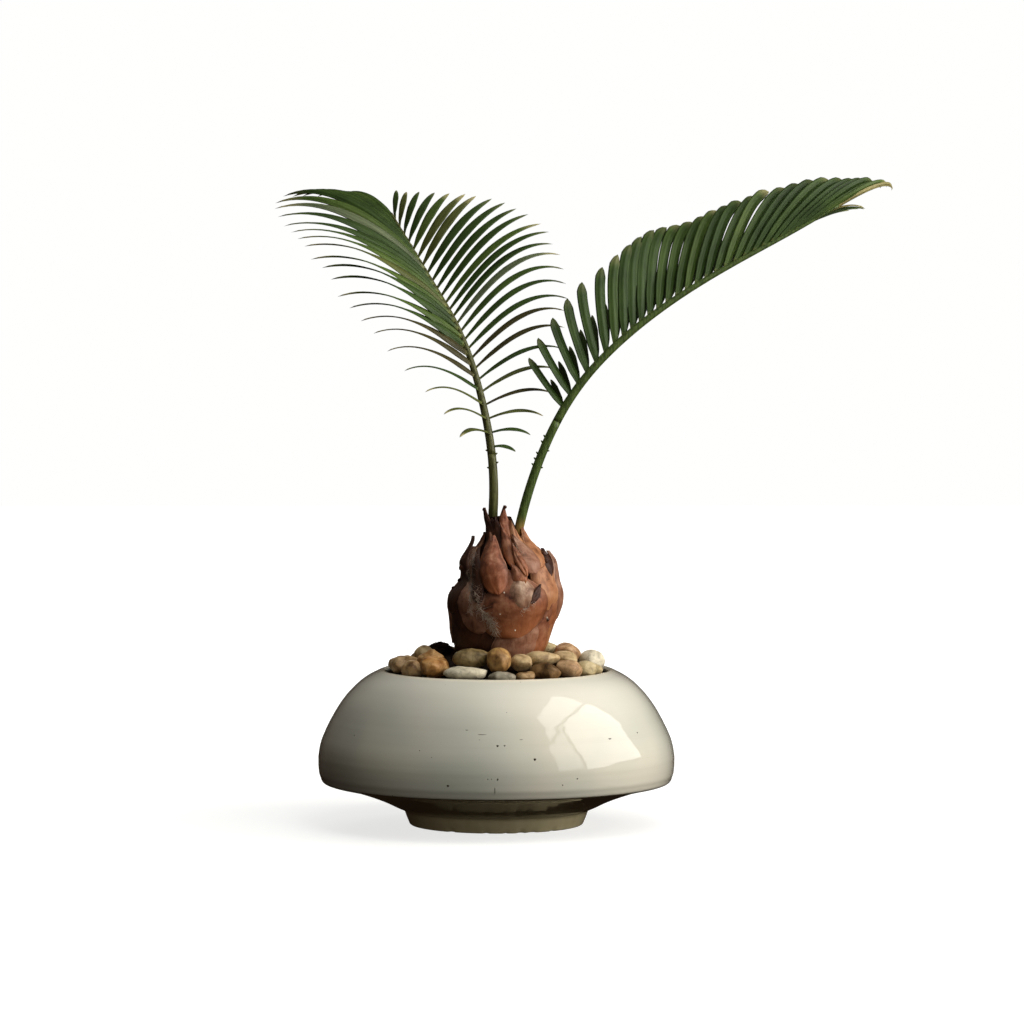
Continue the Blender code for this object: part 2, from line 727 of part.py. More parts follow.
def keep_between_walls(pebble):
    """Keep a pebble inside the mouth and off the trunk and the heap."""
    flat = Vector((pebble["at"].x, pebble["at"].y, 0))
    outward = flat.normalized()
    too_far = flat.length + reach_towards(pebble, outward) + PEBBLE_GAP - PEBBLE_MOUTH_RADIUS
    if too_far > 0:
        pebble["at"] -= outward * too_far
    trunk = Vector((trunk_middle(TRUNK_FOOT).x, 0, 0))
    heap_reach = HEAP_RADIUS * (1 + HEAP_WAVE)
    for middle, radius in ((trunk, TRUNK_CLEAR_RADIUS), (HEAP_CENTRE, heap_reach)):
        away = Vector((pebble["at"].x, pebble["at"].y, 0)) - middle
        direction = away.normalized()
        too_near = radius + reach_towards(pebble, direction) + PEBBLE_GAP - away.length
        if too_near > 0:
            pebble["at"] += direction * too_near


def make_pebble(number, pebble):
    """One rounded pebble with a few worn hollows, lowered until it rests on the soil."""
    work = bmesh.new()
    bmesh.ops.create_icosphere(work, subdivisions=2, radius=1.0)
    a, b = pebble_axes(pebble["turn"])
    long, wide, high = pebble["half"]
    dice = random.Random(number)
    lumps = []
    for _ in range(3):
        hollow = Vector([dice.uniform(-1, 1) for _ in range(3)]).normalized()
        lumps.append((hollow, dice.uniform(0.05, 0.13)))
    for vertex in work.verts:
        p = vertex.co.copy()
        shrink = 1.0
        for lump, depth in lumps:
            shrink -= depth * max(p.dot(lump), 0.0) ** 3
        p *= shrink
        vertex.co = a * p.x * long + b * p.y * wide + UP * p.z * high + pebble["at"]
    clear = min(v.co.z - soil_height(v.co.xy.length) for v in work.verts) - GAP
    bmesh.ops.translate(work, verts=work.verts, vec=-UP * clear)
    mesh = bpy.data.meshes.new(f"pebble_{number:02d}")
    work.to_mesh(mesh)
    work.free()
    for polygon in mesh.polygons:
        polygon.use_smooth = True
    mesh.materials.append(finish("pebble_" + pebble["kind"]))
    made = bpy.data.objects.new(mesh.name, mesh)
    bpy.context.scene.collection.objects.link(made)


def main():
    for old in list(bpy.data.objects):
        bpy.data.objects.remove(old)
    make_bowl()
    soil = make_soil()
    join_solids(soil, [make_heap()], "soil_dark")
    make_trunk()
    for frond in (LEFT_FROND, RIGHT_FROND):
        make_frond(frond)
    for number, pebble in enumerate(lay_pebbles()):
        make_pebble(number, pebble)


main()
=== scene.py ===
"""Looks of a young sago palm in a glazed stoneware bowl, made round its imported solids.

Metres, +Z up, in the part's own frame: the origin is under the middle of the bowl's foot, the
fronds reach to -X and +X, and -Y is the side that the palm is looked at from.
"""
import json
import math
import random

import bmesh
import bpy
import numpy as np
from mathutils import Matrix, Vector, noise
from mathutils.bvhtree import BVHTree


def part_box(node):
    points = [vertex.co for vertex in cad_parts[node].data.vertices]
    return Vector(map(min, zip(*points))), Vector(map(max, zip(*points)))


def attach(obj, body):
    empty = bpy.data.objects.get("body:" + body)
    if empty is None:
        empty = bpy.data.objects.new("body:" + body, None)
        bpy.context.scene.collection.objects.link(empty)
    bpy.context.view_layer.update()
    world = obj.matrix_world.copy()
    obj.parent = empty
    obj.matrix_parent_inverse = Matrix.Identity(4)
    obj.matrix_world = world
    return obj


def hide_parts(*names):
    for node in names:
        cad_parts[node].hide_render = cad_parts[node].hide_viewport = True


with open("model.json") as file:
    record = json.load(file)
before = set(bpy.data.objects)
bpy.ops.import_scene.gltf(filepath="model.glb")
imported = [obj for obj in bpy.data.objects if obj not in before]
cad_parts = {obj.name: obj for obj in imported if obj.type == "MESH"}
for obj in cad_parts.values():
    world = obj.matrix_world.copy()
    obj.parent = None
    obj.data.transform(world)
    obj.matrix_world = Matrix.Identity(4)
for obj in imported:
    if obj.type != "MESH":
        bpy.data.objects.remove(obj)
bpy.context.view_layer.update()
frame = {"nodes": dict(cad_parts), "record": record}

MM = 0.001
UP = Vector((0, 0, 1))
# A place across is held to this share of the radius, so that it has a heading
SIDE_LIMIT = 0.99


# Camera, at the photograph's viewing angle

CAMERA_PLACE = (0.0, -3.6, 0.432)
CAMERA_PITCH = math.radians(3.80)
CAMERA_TURN = math.radians(0.1535)
PICTURE_PIXELS = 1024
FOCAL_PIXELS = 5858
SENSOR_MM = 36.0


# Bowl: radius and height in millimetres of the stretches of its outline, each smooth by itself

FOOT_MM = ((0.0, 0.0), (52.6, 0.0))
FOOT_EDGE_MM = ((52.9, 0.05), (53.4, 0.35), (53.8, 0.9))
FOOT_SIDE_MM = ((53.9, 1.2), (55.4, 4.8), (56.6, 8.2))
UNDERSIDE_MM = (
    (57.9, 9.4), (62.6, 11.4), (70.3, 15.1), (80.0, 18.9), (91.5, 22.7), (98.8, 24.5), (105.8, 26.1),
)
LIP_MM = ((106.8, 26.45), (107.6, 27.1), (108.15, 28.1))
BELLY_MM = (
    (108.5, 29.2), (109.5, 32.4), (109.95, 37.6), (109.8, 43.6), (108.2, 51.6), (104.9, 59.6),
    (101.2, 66.8), (96.9, 74.0), (91.6, 81.0), (84.8, 87.8), (79.0, 91.9), (72.9, 95.0),
)
MOUTH_MM = ((72.0, 95.3), (70.9, 95.7), (69.9, 95.75), (69.0, 95.3), (68.6, 94.3))
INNER_MM = (
    (68.6, 93.0), (75.5, 87.3), (86.0, 78.0), (96.5, 62.5), (103.0, 44.0),
    (102.5, 35.5), (95.5, 28.5), (75.0, 22.0), (58.0, 17.0), (0.0, 16.0),
)
# Stretches from the foot up and over the mouth, and about how far apart their points are
BOWL_STRETCHES_MM = (
    (FOOT_SIDE_MM, 1.2), (UNDERSIDE_MM, 2.0), (LIP_MM, 0.5),
    (BELLY_MM, 1.5), (MOUTH_MM, 0.4), (INNER_MM, 5.0),
)
BOWL_SIDES = 240
# Waves that the potter's hand leaves in the wall: their depth, the heights of a fine and a broad
# wave, how far the fine one wanders round the bowl, in radians, and the lowest and highest point
# and the least radius of the wall that has them
THROWING_WAVE = 0.05 * MM
FINE_WAVE_MM = 5.4636
BROAD_WAVE_MM = 14.96
WAVE_WANDER = 0.8
WAVY_FROM_MM = 29
WAVY_TO_MM = 94
WAVY_RADIUS_MM = 69
# Chips at the lower edge of the foot: heading in degrees, width and depth in millimetres
FOOT_CHIPS = (
    (-74, 5, 1.4), (-84, 3, 0.9), (-66, 7, 1.1), (-97, 4, 0.8), (-121, 5, 1.0), (-50, 4, 0.9),
    (12, 6, 1.2), (64, 4, 1.0), (131, 7, 1.1), (178, 4, 0.9),
)
# Radius of the chipped edge, where the chips start on the underside and how high they reach
FOOT_RADIUS_MM = 53.7
CHIPPED_FROM_MM = 52
CHIP_HEIGHT_MM = 3.2
# The flat underside, which ends below this height, is worn up by a share of a chip's depth
UNDERSIDE_TOP_MM = 0.2
CHIP_RISE = 0.35
# Iron specks that show in the glaze: place across and height on the bowl in millimetres, width
# and height of the mark
IRON_MARKS_MM = (
    (0.7, 59.2, 1.5, 1.5), (4.9, 59.4, 1.2, 1.0), (0.8, 55.3, 1.1, 1.0), (8.9, 46.9, 1.3, 1.3),
    (23.1, 51.2, 1.6, 1.6), (-5.2, 39.9, 1.2, 1.1), (-2.9, 39.9, 1.1, 0.9), (0.7, 39.8, 1.5, 2.0),
    (-29.0, 35.3, 1.8, 1.5), (-0.9, 32.8, 0.45, 4.6), (-52.5, 42.0, 4.0, 0.8), (-85.5, 50.0, 4.2, 0.6),
    (-43.2, 70.9, 3.2, 0.8), (68.5, 60.8, 2.8, 0.8), (-86.2, 60.8, 1.3, 1.1), (85.6, 62.4, 1.1, 1.0),
    (48.7, 38.8, 1.2, 1.0), (39.8, 35.4, 1.1, 0.9), (-10.2, 62.7, 1.2, 0.8), (-30.7, 76.7, 1.8, 0.6),
    (-8.6, 65.7, 5.6, 0.45), (14.9, 62.8, 2.8, 0.45), (-17.8, 68.2, 2.0, 0.45),
)
# Rings of a mark from under the glaze up: height over the glaze in millimetres and share of its
# size, then the points round it, how uneven its outline is and how deep the whole mark is sunk
IRON_MARK_RINGS = ((-0.10, 1.0), (0.03, 0.92), (0.05, 0.4))
IRON_MARK_SIDES = 10
IRON_MARK_ROUGHNESS = 0.2
IRON_MARK_SUNK = 0.02 * MM

# Soil: height of the level ground, where it starts to fall and where it meets the bowl's mouth,
# then the small heap of loose soil on the left, with its middle, radius and height
GROUND = 104.0 * MM
LEVEL_RADIUS = 30.0 * MM
SOIL_MOUTH_RADIUS = 66.0 * MM
SOIL_MOUTH_HEIGHT = 89.5 * MM
HEAP_CENTRE = Vector((-39 * MM, 19 * MM, 0))
HEAP_RADIUS = 12.5 * MM
HEAP_HEIGHT = 11.0 * MM
# Edge of the crumbled surface, then radius and height of the soil's side along the bowl's inner
# wall, and its underside, in millimetres
SOIL_EDGE_MM = 67.5
SOIL_SIDE_MM = (
    (72.5, 87.6), (84.0, 77.8), (94.5, 62.0), (100.5, 44.0),
    (100.5, 36.0), (94.0, 30.5), (74.0, 24.0), (57.0, 19.0),
)
SOIL_FLOOR_MM = 18.5
SOIL_SIDES = 300
SOIL_RINGS = 110
# Lumps in the soil's surface: width and depth of the coarse and the fine ones, and how far they
# stand back on the whole, in millimetres
COARSE_LUMP_MM = (5.5, 0.75)
FINE_LUMP_MM = (2.1, 0.45)
LUMPS_BACK_MM = 0.35
# Loose crumbs: how many, the share of them on the heap, how far out they lie, the radius round the
# trunk that is free of them, half their least and greatest width in millimetres, their least and
# greatest stretch along X, Y and Z, and how rough they are
CRUMB_COUNT = 900
CRUMBS_ON_HEAP = 0.35
CRUMB_REACH = 65 * MM
CRUMB_FREE_RADIUS = 25 * MM
CRUMB_HALF_MM = (0.4, 1.3)
CRUMB_STRETCH = ((0.7, 1.3), (0.7, 1.3), (0.6, 1.0))
CRUMB_ROUGHNESS = 0.25

# Pebbles: how far each is swollen over its solid, how many flats it has worn, how far out a flat
# may lie, and how much of the stone beyond it is gone
PEBBLE_SWELL = 1.10
PEBBLE_FLATS = 5
FLAT_REACH = (0.70, 0.92)
FLAT_WEAR = 0.6
# Dents: width and depth of the broad and the small ones in millimetres, and how knobbly each kind is
BROAD_DENT_MM = (7.5, 1.98)
SMALL_DENT_MM = (2.6, 0.315)
KNOBBLY_KINDS = {"tan": 0.9, "ochre": 1.0, "brown": 0.8, "umber": 0.6}
KNOBBLY_OTHERS = 0.34
# Points of a solid that are closer than this are one, and how often its faces are halved to round it
WELD_REACH = 0.01 * MM
ROUNDING_STEPS = 3

# Trunk under its scales, from the ground to the top of the neck
TRUNK_FOOT = 104.3 * MM
TRUNK_TOP = 190.0 * MM
TRUNK_RADII_MM = (25.0, 27.0, 28.0, 28.8, 30.0, 31.0, 30.3, 27.2, 25.0, 22.4, 17.2, 11.6, 9.0, 7.8)
TRUNK_SHIFT_MM = (2.0, 3.2, 5.0, 6.0, 6.8, 5.4, 1.8)
# How far the front scales stand off the bulb on the whole, for their headings
FRONT_LIFT = 2 * MM
# Scales that show at the front, the lowest layer first: the tip's and the lower end's place across
# and height, how far the middle line bows to the right, then width, lift off the bulb, swelling
# and how far the tip stands off, in millimetres, the share where it is widest, and the tone
FRONT_SCALES = (
    (-20.0, 138.0, -17.0, 104.0, 0.0, 38.0, 0.6, 1.4, 1.0, 0.38, "umber"),
    (12.0, 136.0, 15.7, 104.0, 0.0, 38.0, 0.8, 1.6, 1.0, 0.38, "rose"),
    (34.0, 138.0, 27.0, 104.0, 0.0, 32.0, 0.5, 1.4, 1.0, 0.38, "russet"),
    (-28.6, 147.0, -16.0, 107.0, 0.0, 38.0, 2.0, 1.4, 1.4, 0.50, "umber"),
    (34.5, 158.0, 33.5, 121.0, 0.0, 32.0, 1.0, 1.8, 0.4, 0.40, "russet"),
    (-12.0, 172.0, -7.0, 121.0, -2.0, 29.0, 2.6, 1.8, 0.2, 0.42, "woolly"),
    (6.0, 160.0, 14.0, 118.0, 0.0, 49.0, 3.0, 3.2, 0.0, 0.50, "russet"),
    (-14.2, 178.6, -25.0, 131.0, -1.0, 22.0, 4.4, 1.4, 4.4, 0.40, "umber"),
    (12.0, 157.5, 16.3, 135.5, 0.0, 19.5, 5.0, 2.2, 0.0, 0.48, "grey_brown"),
    (27.4, 168.0, 31.0, 134.0, 0.0, 36.0, 1.0, 2.6, 1.0, 0.52, "tan"),
    (27.4, 171.0, 32.4, 154.0, 0.0, 12.0, 3.4, 1.4, 2.6, 0.40, "umber"),
    (-8.2, 172.0, -9.0, 139.0, 0.0, 11.0, 4.6, 1.6, 0.2, 0.45, "umber"),
    (-3.6, 181.0, -6.0, 158.0, 0.0, 10.0, 2.0, 1.6, 0.4, 0.40, "russet"),
    (16.5, 184.5, 25.5, 160.0, 0.5, 13.0, 3.0, 1.4, 0.6, 0.45, "tan"),
    (8.3, 188.5, 17.5, 166.0, 0.0, 8.0, 2.4, 1.4, 0.6, 0.45, "tan"),
    (-4.0, 189.5, -3.5, 166.0, 0.0, 17.0, 0.2, 0.8, 0.0, 0.55, "umber"),
    (4.5, 190.5, 5.0, 166.0, 0.0, 15.0, 0.3, 0.8, 0.0, 0.55, "chestnut"),
    (5.6, 197.6, 8.5, 172.0, 0.5, 8.5, 0.8, 1.0, 0.6, 0.50, "chestnut"),
    (-7.8, 195.8, -5.0, 170.0, 0.0, 9.0, 0.6, 1.0, 1.2, 0.50, "umber"),
    (-0.5, 191.0, 0.0, 170.0, 0.0, 9.0, 0.8, 1.2, 0.0, 0.45, "umber"),
    (2.3, 187.2, 10.4, 160.0, 0.0, 8.0, 3.2, 1.8, 0.2, 0.45, "russet"),
    (8.3, 180.6, 22.5, 157.0, 1.5, 15.0, 5.6, 0.6, 0.6, 0.30, "rose"),
    (7.9, 176.8, 17.0, 155.5, -0.6, 6.5, 6.8, 1.2, 0.4, 0.40, "russet"),
    (8.6, 163.0, 16.5, 151.0, 0.0, 10.0, 6.0, 1.0, 0.0, 0.45, "russet"),
    # Painted shadow: this thin dark scale stands where a shadow gap falls between the scales
    (24.5, 150.5, 19.5, 139.0, 0.0, 5.0, 6.4, 0.3, 0.0, 0.5, "umber"),
    (0.4, 179.8, 1.8, 144.8, -2.8, 19.0, 6.0, 3.6, 1.0, 0.40, "chestnut"),
)
# Hollow in the bulb's left side over the corner of an old scale: its heading in degrees, height in
# millimetres, reach round the trunk in degrees, and reach up and depth in millimetres
LEFT_HOLLOW = (192.0, 151.5, 34.0, 6.5, 5.5)
# Dry knobs at the ends of old scales: place across, height and width in millimetres
KNOBS_MM = (
    (-22.6, 158.9, 4.0), (-25.2, 150.6, 3.0), (-27.9, 146.0, 2.8), (29.4, 167.6, 4.2),
    (30.6, 163.5, 3.6), (-7.6, 194.6, 2.2), (5.8, 196.4, 2.4), (31.4, 127.6, 2.4),
)
# Grains of grit that catch the light, in the same way
GRIT_MM = (
    (-16.6, 148.3, 0.9), (4.7, 145.8, 1.0), (2.3, 132.7, 0.8), (11.4, 122.6, 1.0),
    (-24.8, 152.2, 0.7), (31.0, 129.0, 1.4), (-7.5, 137.5, 0.7),
)
# Share of a knob's and of a grain's width that is sunk in the trunk
KNOB_SUNK = 0.6
GRIT_SUNK = 0.5
# How rough a lump is, how many hollows lie from its middle to its side, and the place along and
# across a scale whose tone it takes
LUMP_ROUGHNESS = 0.35
LUMP_HOLLOWS = 1.6
LUMP_TONE_PLACE = (0.3, 0.0)
# A lump or hair is set down on the trunk from this far in front of it. One past the outline is
# moved in to the trunk in small steps.
IN_FRONT = -300 * MM
INWARD_STEPS = 24
# Tufts of wool: place across and height of the first and last hair, length of the hairs in
# millimetres, number of hairs and the direction that they lie in, in degrees from +X
WOOL_TUFTS = (
    (-13.4, 170.0, -16.4, 158.0, 3.0, 60, -105),
    (-16.4, 158.0, -15.6, 134.0, 3.6, 110, -75),
    (-13.0, 150.0, -11.0, 134.0, 4.5, 60, -62),
    (-11.0, 137.0, -1.5, 126.0, 5.0, 110, -40),
    (-9.0, 132.0, 0.0, 121.0, 4.5, 70, -55),
    (14.5, 133.4, 23.0, 140.0, 3.0, 24, 40),
    (8.0, 180.0, 14.0, 168.0, 2.0, 20, -60),
)
# Stretches of a hair, the least and greatest share of its tuft's length, half its width at the
# root and the share of it that is lost to the tip, how far it lies off the scale at its ends and
# rises between them, then the spread of the roots across and up in millimetres, of the direction
# in degrees and of the bend from stretch to stretch in radians
HAIR_STEPS = 5
HAIR_LENGTHS = (0.5, 1.3)
HAIR_HALF_WIDTH = 0.09 * MM
HAIR_TAPER = 0.8
HAIR_LIFT_MM = (0.1, 0.5)
ROOT_SPREAD_MM = (0.7, 0.9)
LIE_SPREAD = 28
BEND_SPREAD = 0.35

# Scales round the back, tier by tier from the ground up: count, height of the lower end, length,
# width, lift, swelling and stand-off of the tip in millimetres
BACK_TIERS = (
    (4, 104, 38, 40, 0.8, 1.8, 1.5),
    (4, 112, 46, 38, 2.0, 2.2, 3.5),
    (4, 128, 44, 32, 3.0, 2.2, 4.5),
    (4, 146, 27, 22, 3.0, 2.0, 1.0),
    (4, 164, 20, 12, 1.6, 1.4, 0.4),
)
# The tiers run between these headings in degrees, each second one is set off by a share of the
# space between two scales, and chance moves a heading in radians, a lower end in millimetres, the
# tip's heading in radians and a length as a share
BACK_HEADINGS = (8.0, 172.0)
BACK_SET_OFF = 0.25
HEADING_CHANCE = 0.1
LOW_END_CHANCE = 2
TIP_CHANCE = 0.15
LENGTH_CHANCE = (0.9, 1.1)
# Tones that the back scales are dealt, and the share of their length where they are widest
BACK_TONES = ("umber", "russet", "russet", "rose", "tan")
WIDEST_SHARE = 0.38
SCALE_LENGTH_STEPS = 34
SCALE_WIDTH_STEPS = 22
# The first and last row of a scale's points are just short of its ends, where it has no width
FIRST_ROW = 0.004
LAST_ROW = 0.998
# How hollow a scale's sides are where it is drawn to its point
SCALE_POINT = 1.15
# A scale's relief: how ragged its edge is, depth of its fibres and wrinkles, how far its edge falls
SCALE_RAGGED = 0.10
SCALE_FIBRES = 0.35 * MM
SCALE_WRINKLES = 0.55 * MM
SCALE_EDGE_FALL = 0.5 * MM
# A scale is sunk in the trunk up to a share of its length, and over the next share it comes free.
# Then its thickness at the root and what is lost of it toward the tip, and its least thickness.
SCALE_SUNK = 1.5 * MM
FREE_FROM = 0.55
FREE_OVER = 0.2
SCALE_THICKNESS = 1.2 * MM
SCALE_THINNING = 0.6 * MM
SCALE_LEAST = 0.3 * MM
# Highest place, in millimetres, that the direction of a front scale's tip is taken from
NECK_TOP_MM = 188
# The trunk's dark core: points round it, steps up it, how far it stands back and the depth of its
# relief, then how many of the hollows lie in a radian and how high they are
CORE_SIDES = 96
CORE_STEPS = 60
CORE_BACK_MM = 0.6
CORE_RELIEF_MM = 0.6
CORE_HOLLOWS = 6
CORE_HOLLOW_MM = 5

# Fronds, by the same rule as the solids, with angles in degrees. leans from upright, rolls and
# radii_mm are read evenly along the midrib, from its root to its tip. The first bare_share of the
# midrib is the stalk, and spines gives the height of each of its spines in millimetres and its side.
# From the share slim_from of a row on, the leaflets get slimmer, down to the share last_width of
# their width at the frond's end. dry_ends counts the dry ones at the end of a row. tones are dealt
# to the leaflets by chance, and low_tones, darker ones that paint the shade of the low leaflets,
# to the first ones of a row. greens are the lit and the shaded green of stalk and midrib, and the
# stalk's tan foot turns green over the heights tan_foot_mm.
#
# Row 1 stands on the left of the frond's heading, seen from above, and row -1 on the right. The
# lists of a row are read evenly along the row, from the leaflet next to the stalk to the last one:
# its place as a share of the midrib, its spread from the midrib, its rise from the frond's plane
# toward the upper face, its droop from root to tip, the tilt of its blade at the root and its twist
# from there to the tip, and its length. A leaflet droops toward the direction fall, most of it near
# the tip where bend is high, and narrows to its point from the share taper_from of its length on.
LEFT_FROND = {
    "name": "left",
    "root_mm": (-1.8, 0.0, 196.0),
    "heading": 128.0,
    "length_mm": 215.4,
    "sunk_mm": 14.0,
    "leans": (-3.9, 15.0, 26.7, 42.9, 45.3, 44.0),
    "rolls": (0, 0, 4),
    "radii_mm": (3.0, 2.6, 2.1, 1.6, 1.2, 0.8),
    "bare_share": 0.15,
    "seed": 3,
    "slim_from": 0.85,
    "last_width": 0.65,
    "dry_ends": 0,
    "tones": ("deep", "leaf", "deep", "fresh", "olive", "silvery"),
    "low_tones": ("shade_brown", "deep", "olive", "shade_brown", "deep"),
    "greens": ("#5f6138", "#3a3b20"),
    "tan_foot_mm": (170, 192),
    "spines": ((228.4, 1), (223.4, 1), (230.8, -1), (219.0, -1)),
    "rows": {
        1: {
            "count": 25,
            "places": (0.212, 0.412, 0.550, 0.685, 0.838, 0.977),
            "spreads": (89, 57, 57, 46, 22, 12),
            "rises": (35, 10, 19, 16, 1, -35),
            "droops": (29, 53, 50, 54, 64, 60),
            "fall": (0.0, 0.0, -1.0),
            "bend": 2.0,
            "tilts": (-48, 6, 56, 54, 42, -18),
            "twists": (-28, -82, -150, -88, -10, 21),
            "lengths_mm": (56, 74, 102, 106, 102, 48),
            "taper_from": 0.5,
        },
        -1: {
            "count": 26,
            "places": (0.174, 0.372, 0.530, 0.665, 0.820, 0.977),
            "spreads": (90, 62, 56, 60, 51, 27),
            "rises": (22, 13, 29, 44, 44, 23),
            "droops": (49, 48, 60, 40, 32, 40),
            "fall": (0.0, 0.0, -1.0),
            "bend": 2.0,
            "tilts": (-81, -72, -49, -35, -39, -85),
            "twists": (42, 35, 34, 33, 57, 86),
            "lengths_mm": (17, 73, 98, 84, 58, 32),
            "taper_from": 0.55,
        },
    },
}
RIGHT_FROND = {
    "name": "right",
    "root_mm": (14.4, 0.0, 185.2),
    "heading": 18.0,
    "length_mm": 299.3,
    "sunk_mm": 10.0,
    "leans": (13.8, 27.3, 47.5, 58.7, 63.7, 60.6),
    "rolls": (-33, -45, -50),
    "radii_mm": (3.0, 2.8, 2.5, 2.0, 1.5, 0.9),
    "bare_share": 0.235,
    "seed": 2,
    "slim_from": 0.76,
    "last_width": 0.42,
    "dry_ends": 1,
    "tones": ("deep", "deep", "leaf", "leaf", "fresh"),
    "low_tones": ("deep", "deep", "leaf", "deep", "leaf"),
    "greens": ("#51632f", "#30401c"),
    "tan_foot_mm": (174, 192),
    "spines": ((239.5, -1), (233.3, -1), (227.7, -1), (223.4, -1), (219.7, -1), (231.0, 1), (222.0, 1)),
    "rows": {
        1: {
            "count": 30,
            "places": (0.258, 0.423, 0.560, 0.702, 0.834, 0.942),
            "spreads": (59, 54, 51, 48, 35, 8),
            "rises": (66, 60, 56, 52, 46, 36),
            "droops": (8, 10, 12, 14, 20, 45),
            "fall": (0.0, 0.0, -1.0),
            "bend": 2.0,
            "tilts": (39, 17, 9, -2, -23, -20),
            "twists": (-12, -26, -31, -34, -33, -14),
            "lengths_mm": (28, 60, 80, 86, 84, 36),
            "taper_from": 0.6,
        },
        -1: {
            "count": 30,
            "places": (0.257, 0.423, 0.560, 0.702, 0.834, 0.942),
            "spreads": (66, 51, 48, 39, 19, 2),
            "rises": (76, 68, 94, 81, 53, 15),
            "droops": (20, 42, 55, 56, 77, 99),
            "fall": (0.5, 0.85, -0.1),
            "bend": 3.2,
            "tilts": (50, 16, 34, 30, 12, -16),
            "twists": (-3, -17, 0, 2, 0, 0),
            "lengths_mm": (40, 62, 84, 75, 76, 72),
            "taper_from": 0.86,
        },
    },
}
# A midrib has no tan foot, so its tan ends far below it
NO_TAN_FOOT_MM = (0, 1)
# Full width of a leaflet, and the height that none passes, just under the top of the solids
LEAFLET_WIDTH = 6.6 * MM
HIGHEST_LEAFLET = 398.3 * MM
# Most that chance adds to a leaflet's spread and rise, in degrees
LEAFLET_JITTER = 1.2
# Share of its width that a leaflet has at its root, how fast it widens from there, how blunt its
# point is, and the share of its thickness that it loses up to the tip
ROOT_WIDTH = 0.45
WIDENING = 2.6
POINT_BLUNTNESS = 0.6
TIP_THINNING = 0.4
# Share of a row, from the stalk on, whose leaflets are the low ones, given darker tones as painted shade
LOW_SHARE = 0.28
# Steps along a midrib and along a leaflet, and points round a midrib
RIB_STEPS = 80
LEAFLET_STEPS = 22
RIB_SIDES = 16
# How far the midrib is flat above and hollowed by the groove on each side, as shares of its radius
RIB_FLAT = 0.10
RIB_GROOVE = 0.06
# Where the groove is, as a share of the radius above the middle, and how narrow it is
GROOVE_PLACE = 0.5
GROOVE_NARROWNESS = 6
# Rings of a stalk's spine from its root out, reach and half width in millimetres, then how far it
# is turned to the front, is sunk in the stalk and leans up it
SPINE_RINGS_MM = ((0.0, 0.75), (0.8, 0.6), (1.5, 0.25))
SPINE_SIDES = 8
SPINE_TURN = -0.25
SPINE_SUNK = 0.5 * MM
SPINE_LEAN = 0.3


# Shared tools

def along(values, share):
    """The smooth curve through evenly spaced values, read at a share of its length."""
    last = len(values) - 1
    place = min(max(share, 0.0), 1.0) * last
    i = min(int(place), last - 1)
    t = place - i
    b, c = values[i], values[i + 1]
    a = values[i - 1] if i > 0 else 2 * b - c
    d = values[i + 2] if i + 2 <= last else 2 * c - b
    square = 2 * a - 5 * b + 4 * c - d
    cube = 3 * b - a - 3 * c + d
    return 0.5 * (2 * b + (c - a) * t + square * t ** 2 + cube * t ** 3)


def colour(hex_value):
    """An sRGB hex value as the linear colour that a shader takes."""
    channels = [int(hex_value[i:i + 2], 16) / 255 for i in (1, 3, 5)]
    linear = [c / 12.92 if c <= 0.04045 else ((c + 0.055) / 1.055) ** 2.4 for c in channels]
    return (*linear, 1.0)


def add(tree, kind, stops=None, inputs=None, **settings):
    """Adds one node: its own settings, the stops of a ramp, and each input's value or link."""
    node = tree.nodes.new(kind)
    for name, value in settings.items():
        setattr(node, name, value)
    if stops:
        while len(node.color_ramp.elements) < len(stops):
            node.color_ramp.elements.new(0.5)
        for element, (place, hex_value) in zip(node.color_ramp.elements, stops):
            element.position = place
            element.color = colour(hex_value)
    for name, value in (inputs or {}).items():
        if isinstance(value, bpy.types.NodeSocket):
            tree.links.new(value, node.inputs[name])
        else:
            node.inputs[name].default_value = value
    return node


def new_material(name, roughness, ior=1.5, **settings):
    """A material's node tree and its shader, with the values that are the same all over."""
    material = bpy.data.materials.new(name)
    material.use_nodes = True
    shader = material.node_tree.nodes["Principled BSDF"]
    shader.inputs["Roughness"].default_value = roughness
    shader.inputs["IOR"].default_value = ior
    for socket, value in settings.items():
        shader.inputs[socket.replace("_", " ").title()].default_value = value
    return material, material.node_tree, shader


def new_piece(name, points, faces, materials, smooth=True, face_kinds=None, uvs=None):
    """A mesh object from arrays of points and faces, with its materials and shading."""
    mesh = bpy.data.meshes.new(name)
    mesh.from_pydata([tuple(p) for p in points], [], [tuple(int(i) for i in f) for f in faces])
    for material in materials:
        mesh.materials.append(material)
    mesh.polygons.foreach_set("use_smooth", [smooth] * len(mesh.polygons))
    if face_kinds is not None:
        mesh.polygons.foreach_set("material_index", face_kinds)
    if uvs is not None:
        layer = mesh.uv_layers.new(name="blade")
        corner_points = np.empty(len(mesh.loops), dtype=np.int32)
        mesh.loops.foreach_get("vertex_index", corner_points)
        layer.uv.foreach_set("vector", np.asarray(uvs, dtype=np.float32)[corner_points].ravel())
    mesh.update()
    made = bpy.data.objects.new(name, mesh)
    bpy.context.scene.collection.objects.link(made)
    return made


def present(piece, slot, *nodes):
    """The piece rides on the part's one body and stands for the nodes, which it hides; the slot is not used.
    """
    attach(piece, "root")
    if nodes:
        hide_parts(*nodes)


def ring_faces(rings, size, start=0):
    """Quads between rings of equal size."""
    r, k = np.meshgrid(np.arange(rings - 1), np.arange(size), indexing="ij")
    a = start + r * size + k
    b = start + r * size + (k + 1) % size
    return np.stack([a, b, b + size, a + size], axis=-1).reshape(-1, 4)


# Materials

# Numbers of a Mix node's sockets when it mixes colours
MIX_SHARE = 0
MIX_FIRST = 6
MIX_SECOND = 7
MIX_RESULT = 2
GLAZE_ROUGHNESS = 0.06
WASH_ROUGHNESS = 0.42


def per_metre(size_mm):
    """How often a pattern repeats in a metre, from its size in millimetres."""
    return 1000 / size_mm


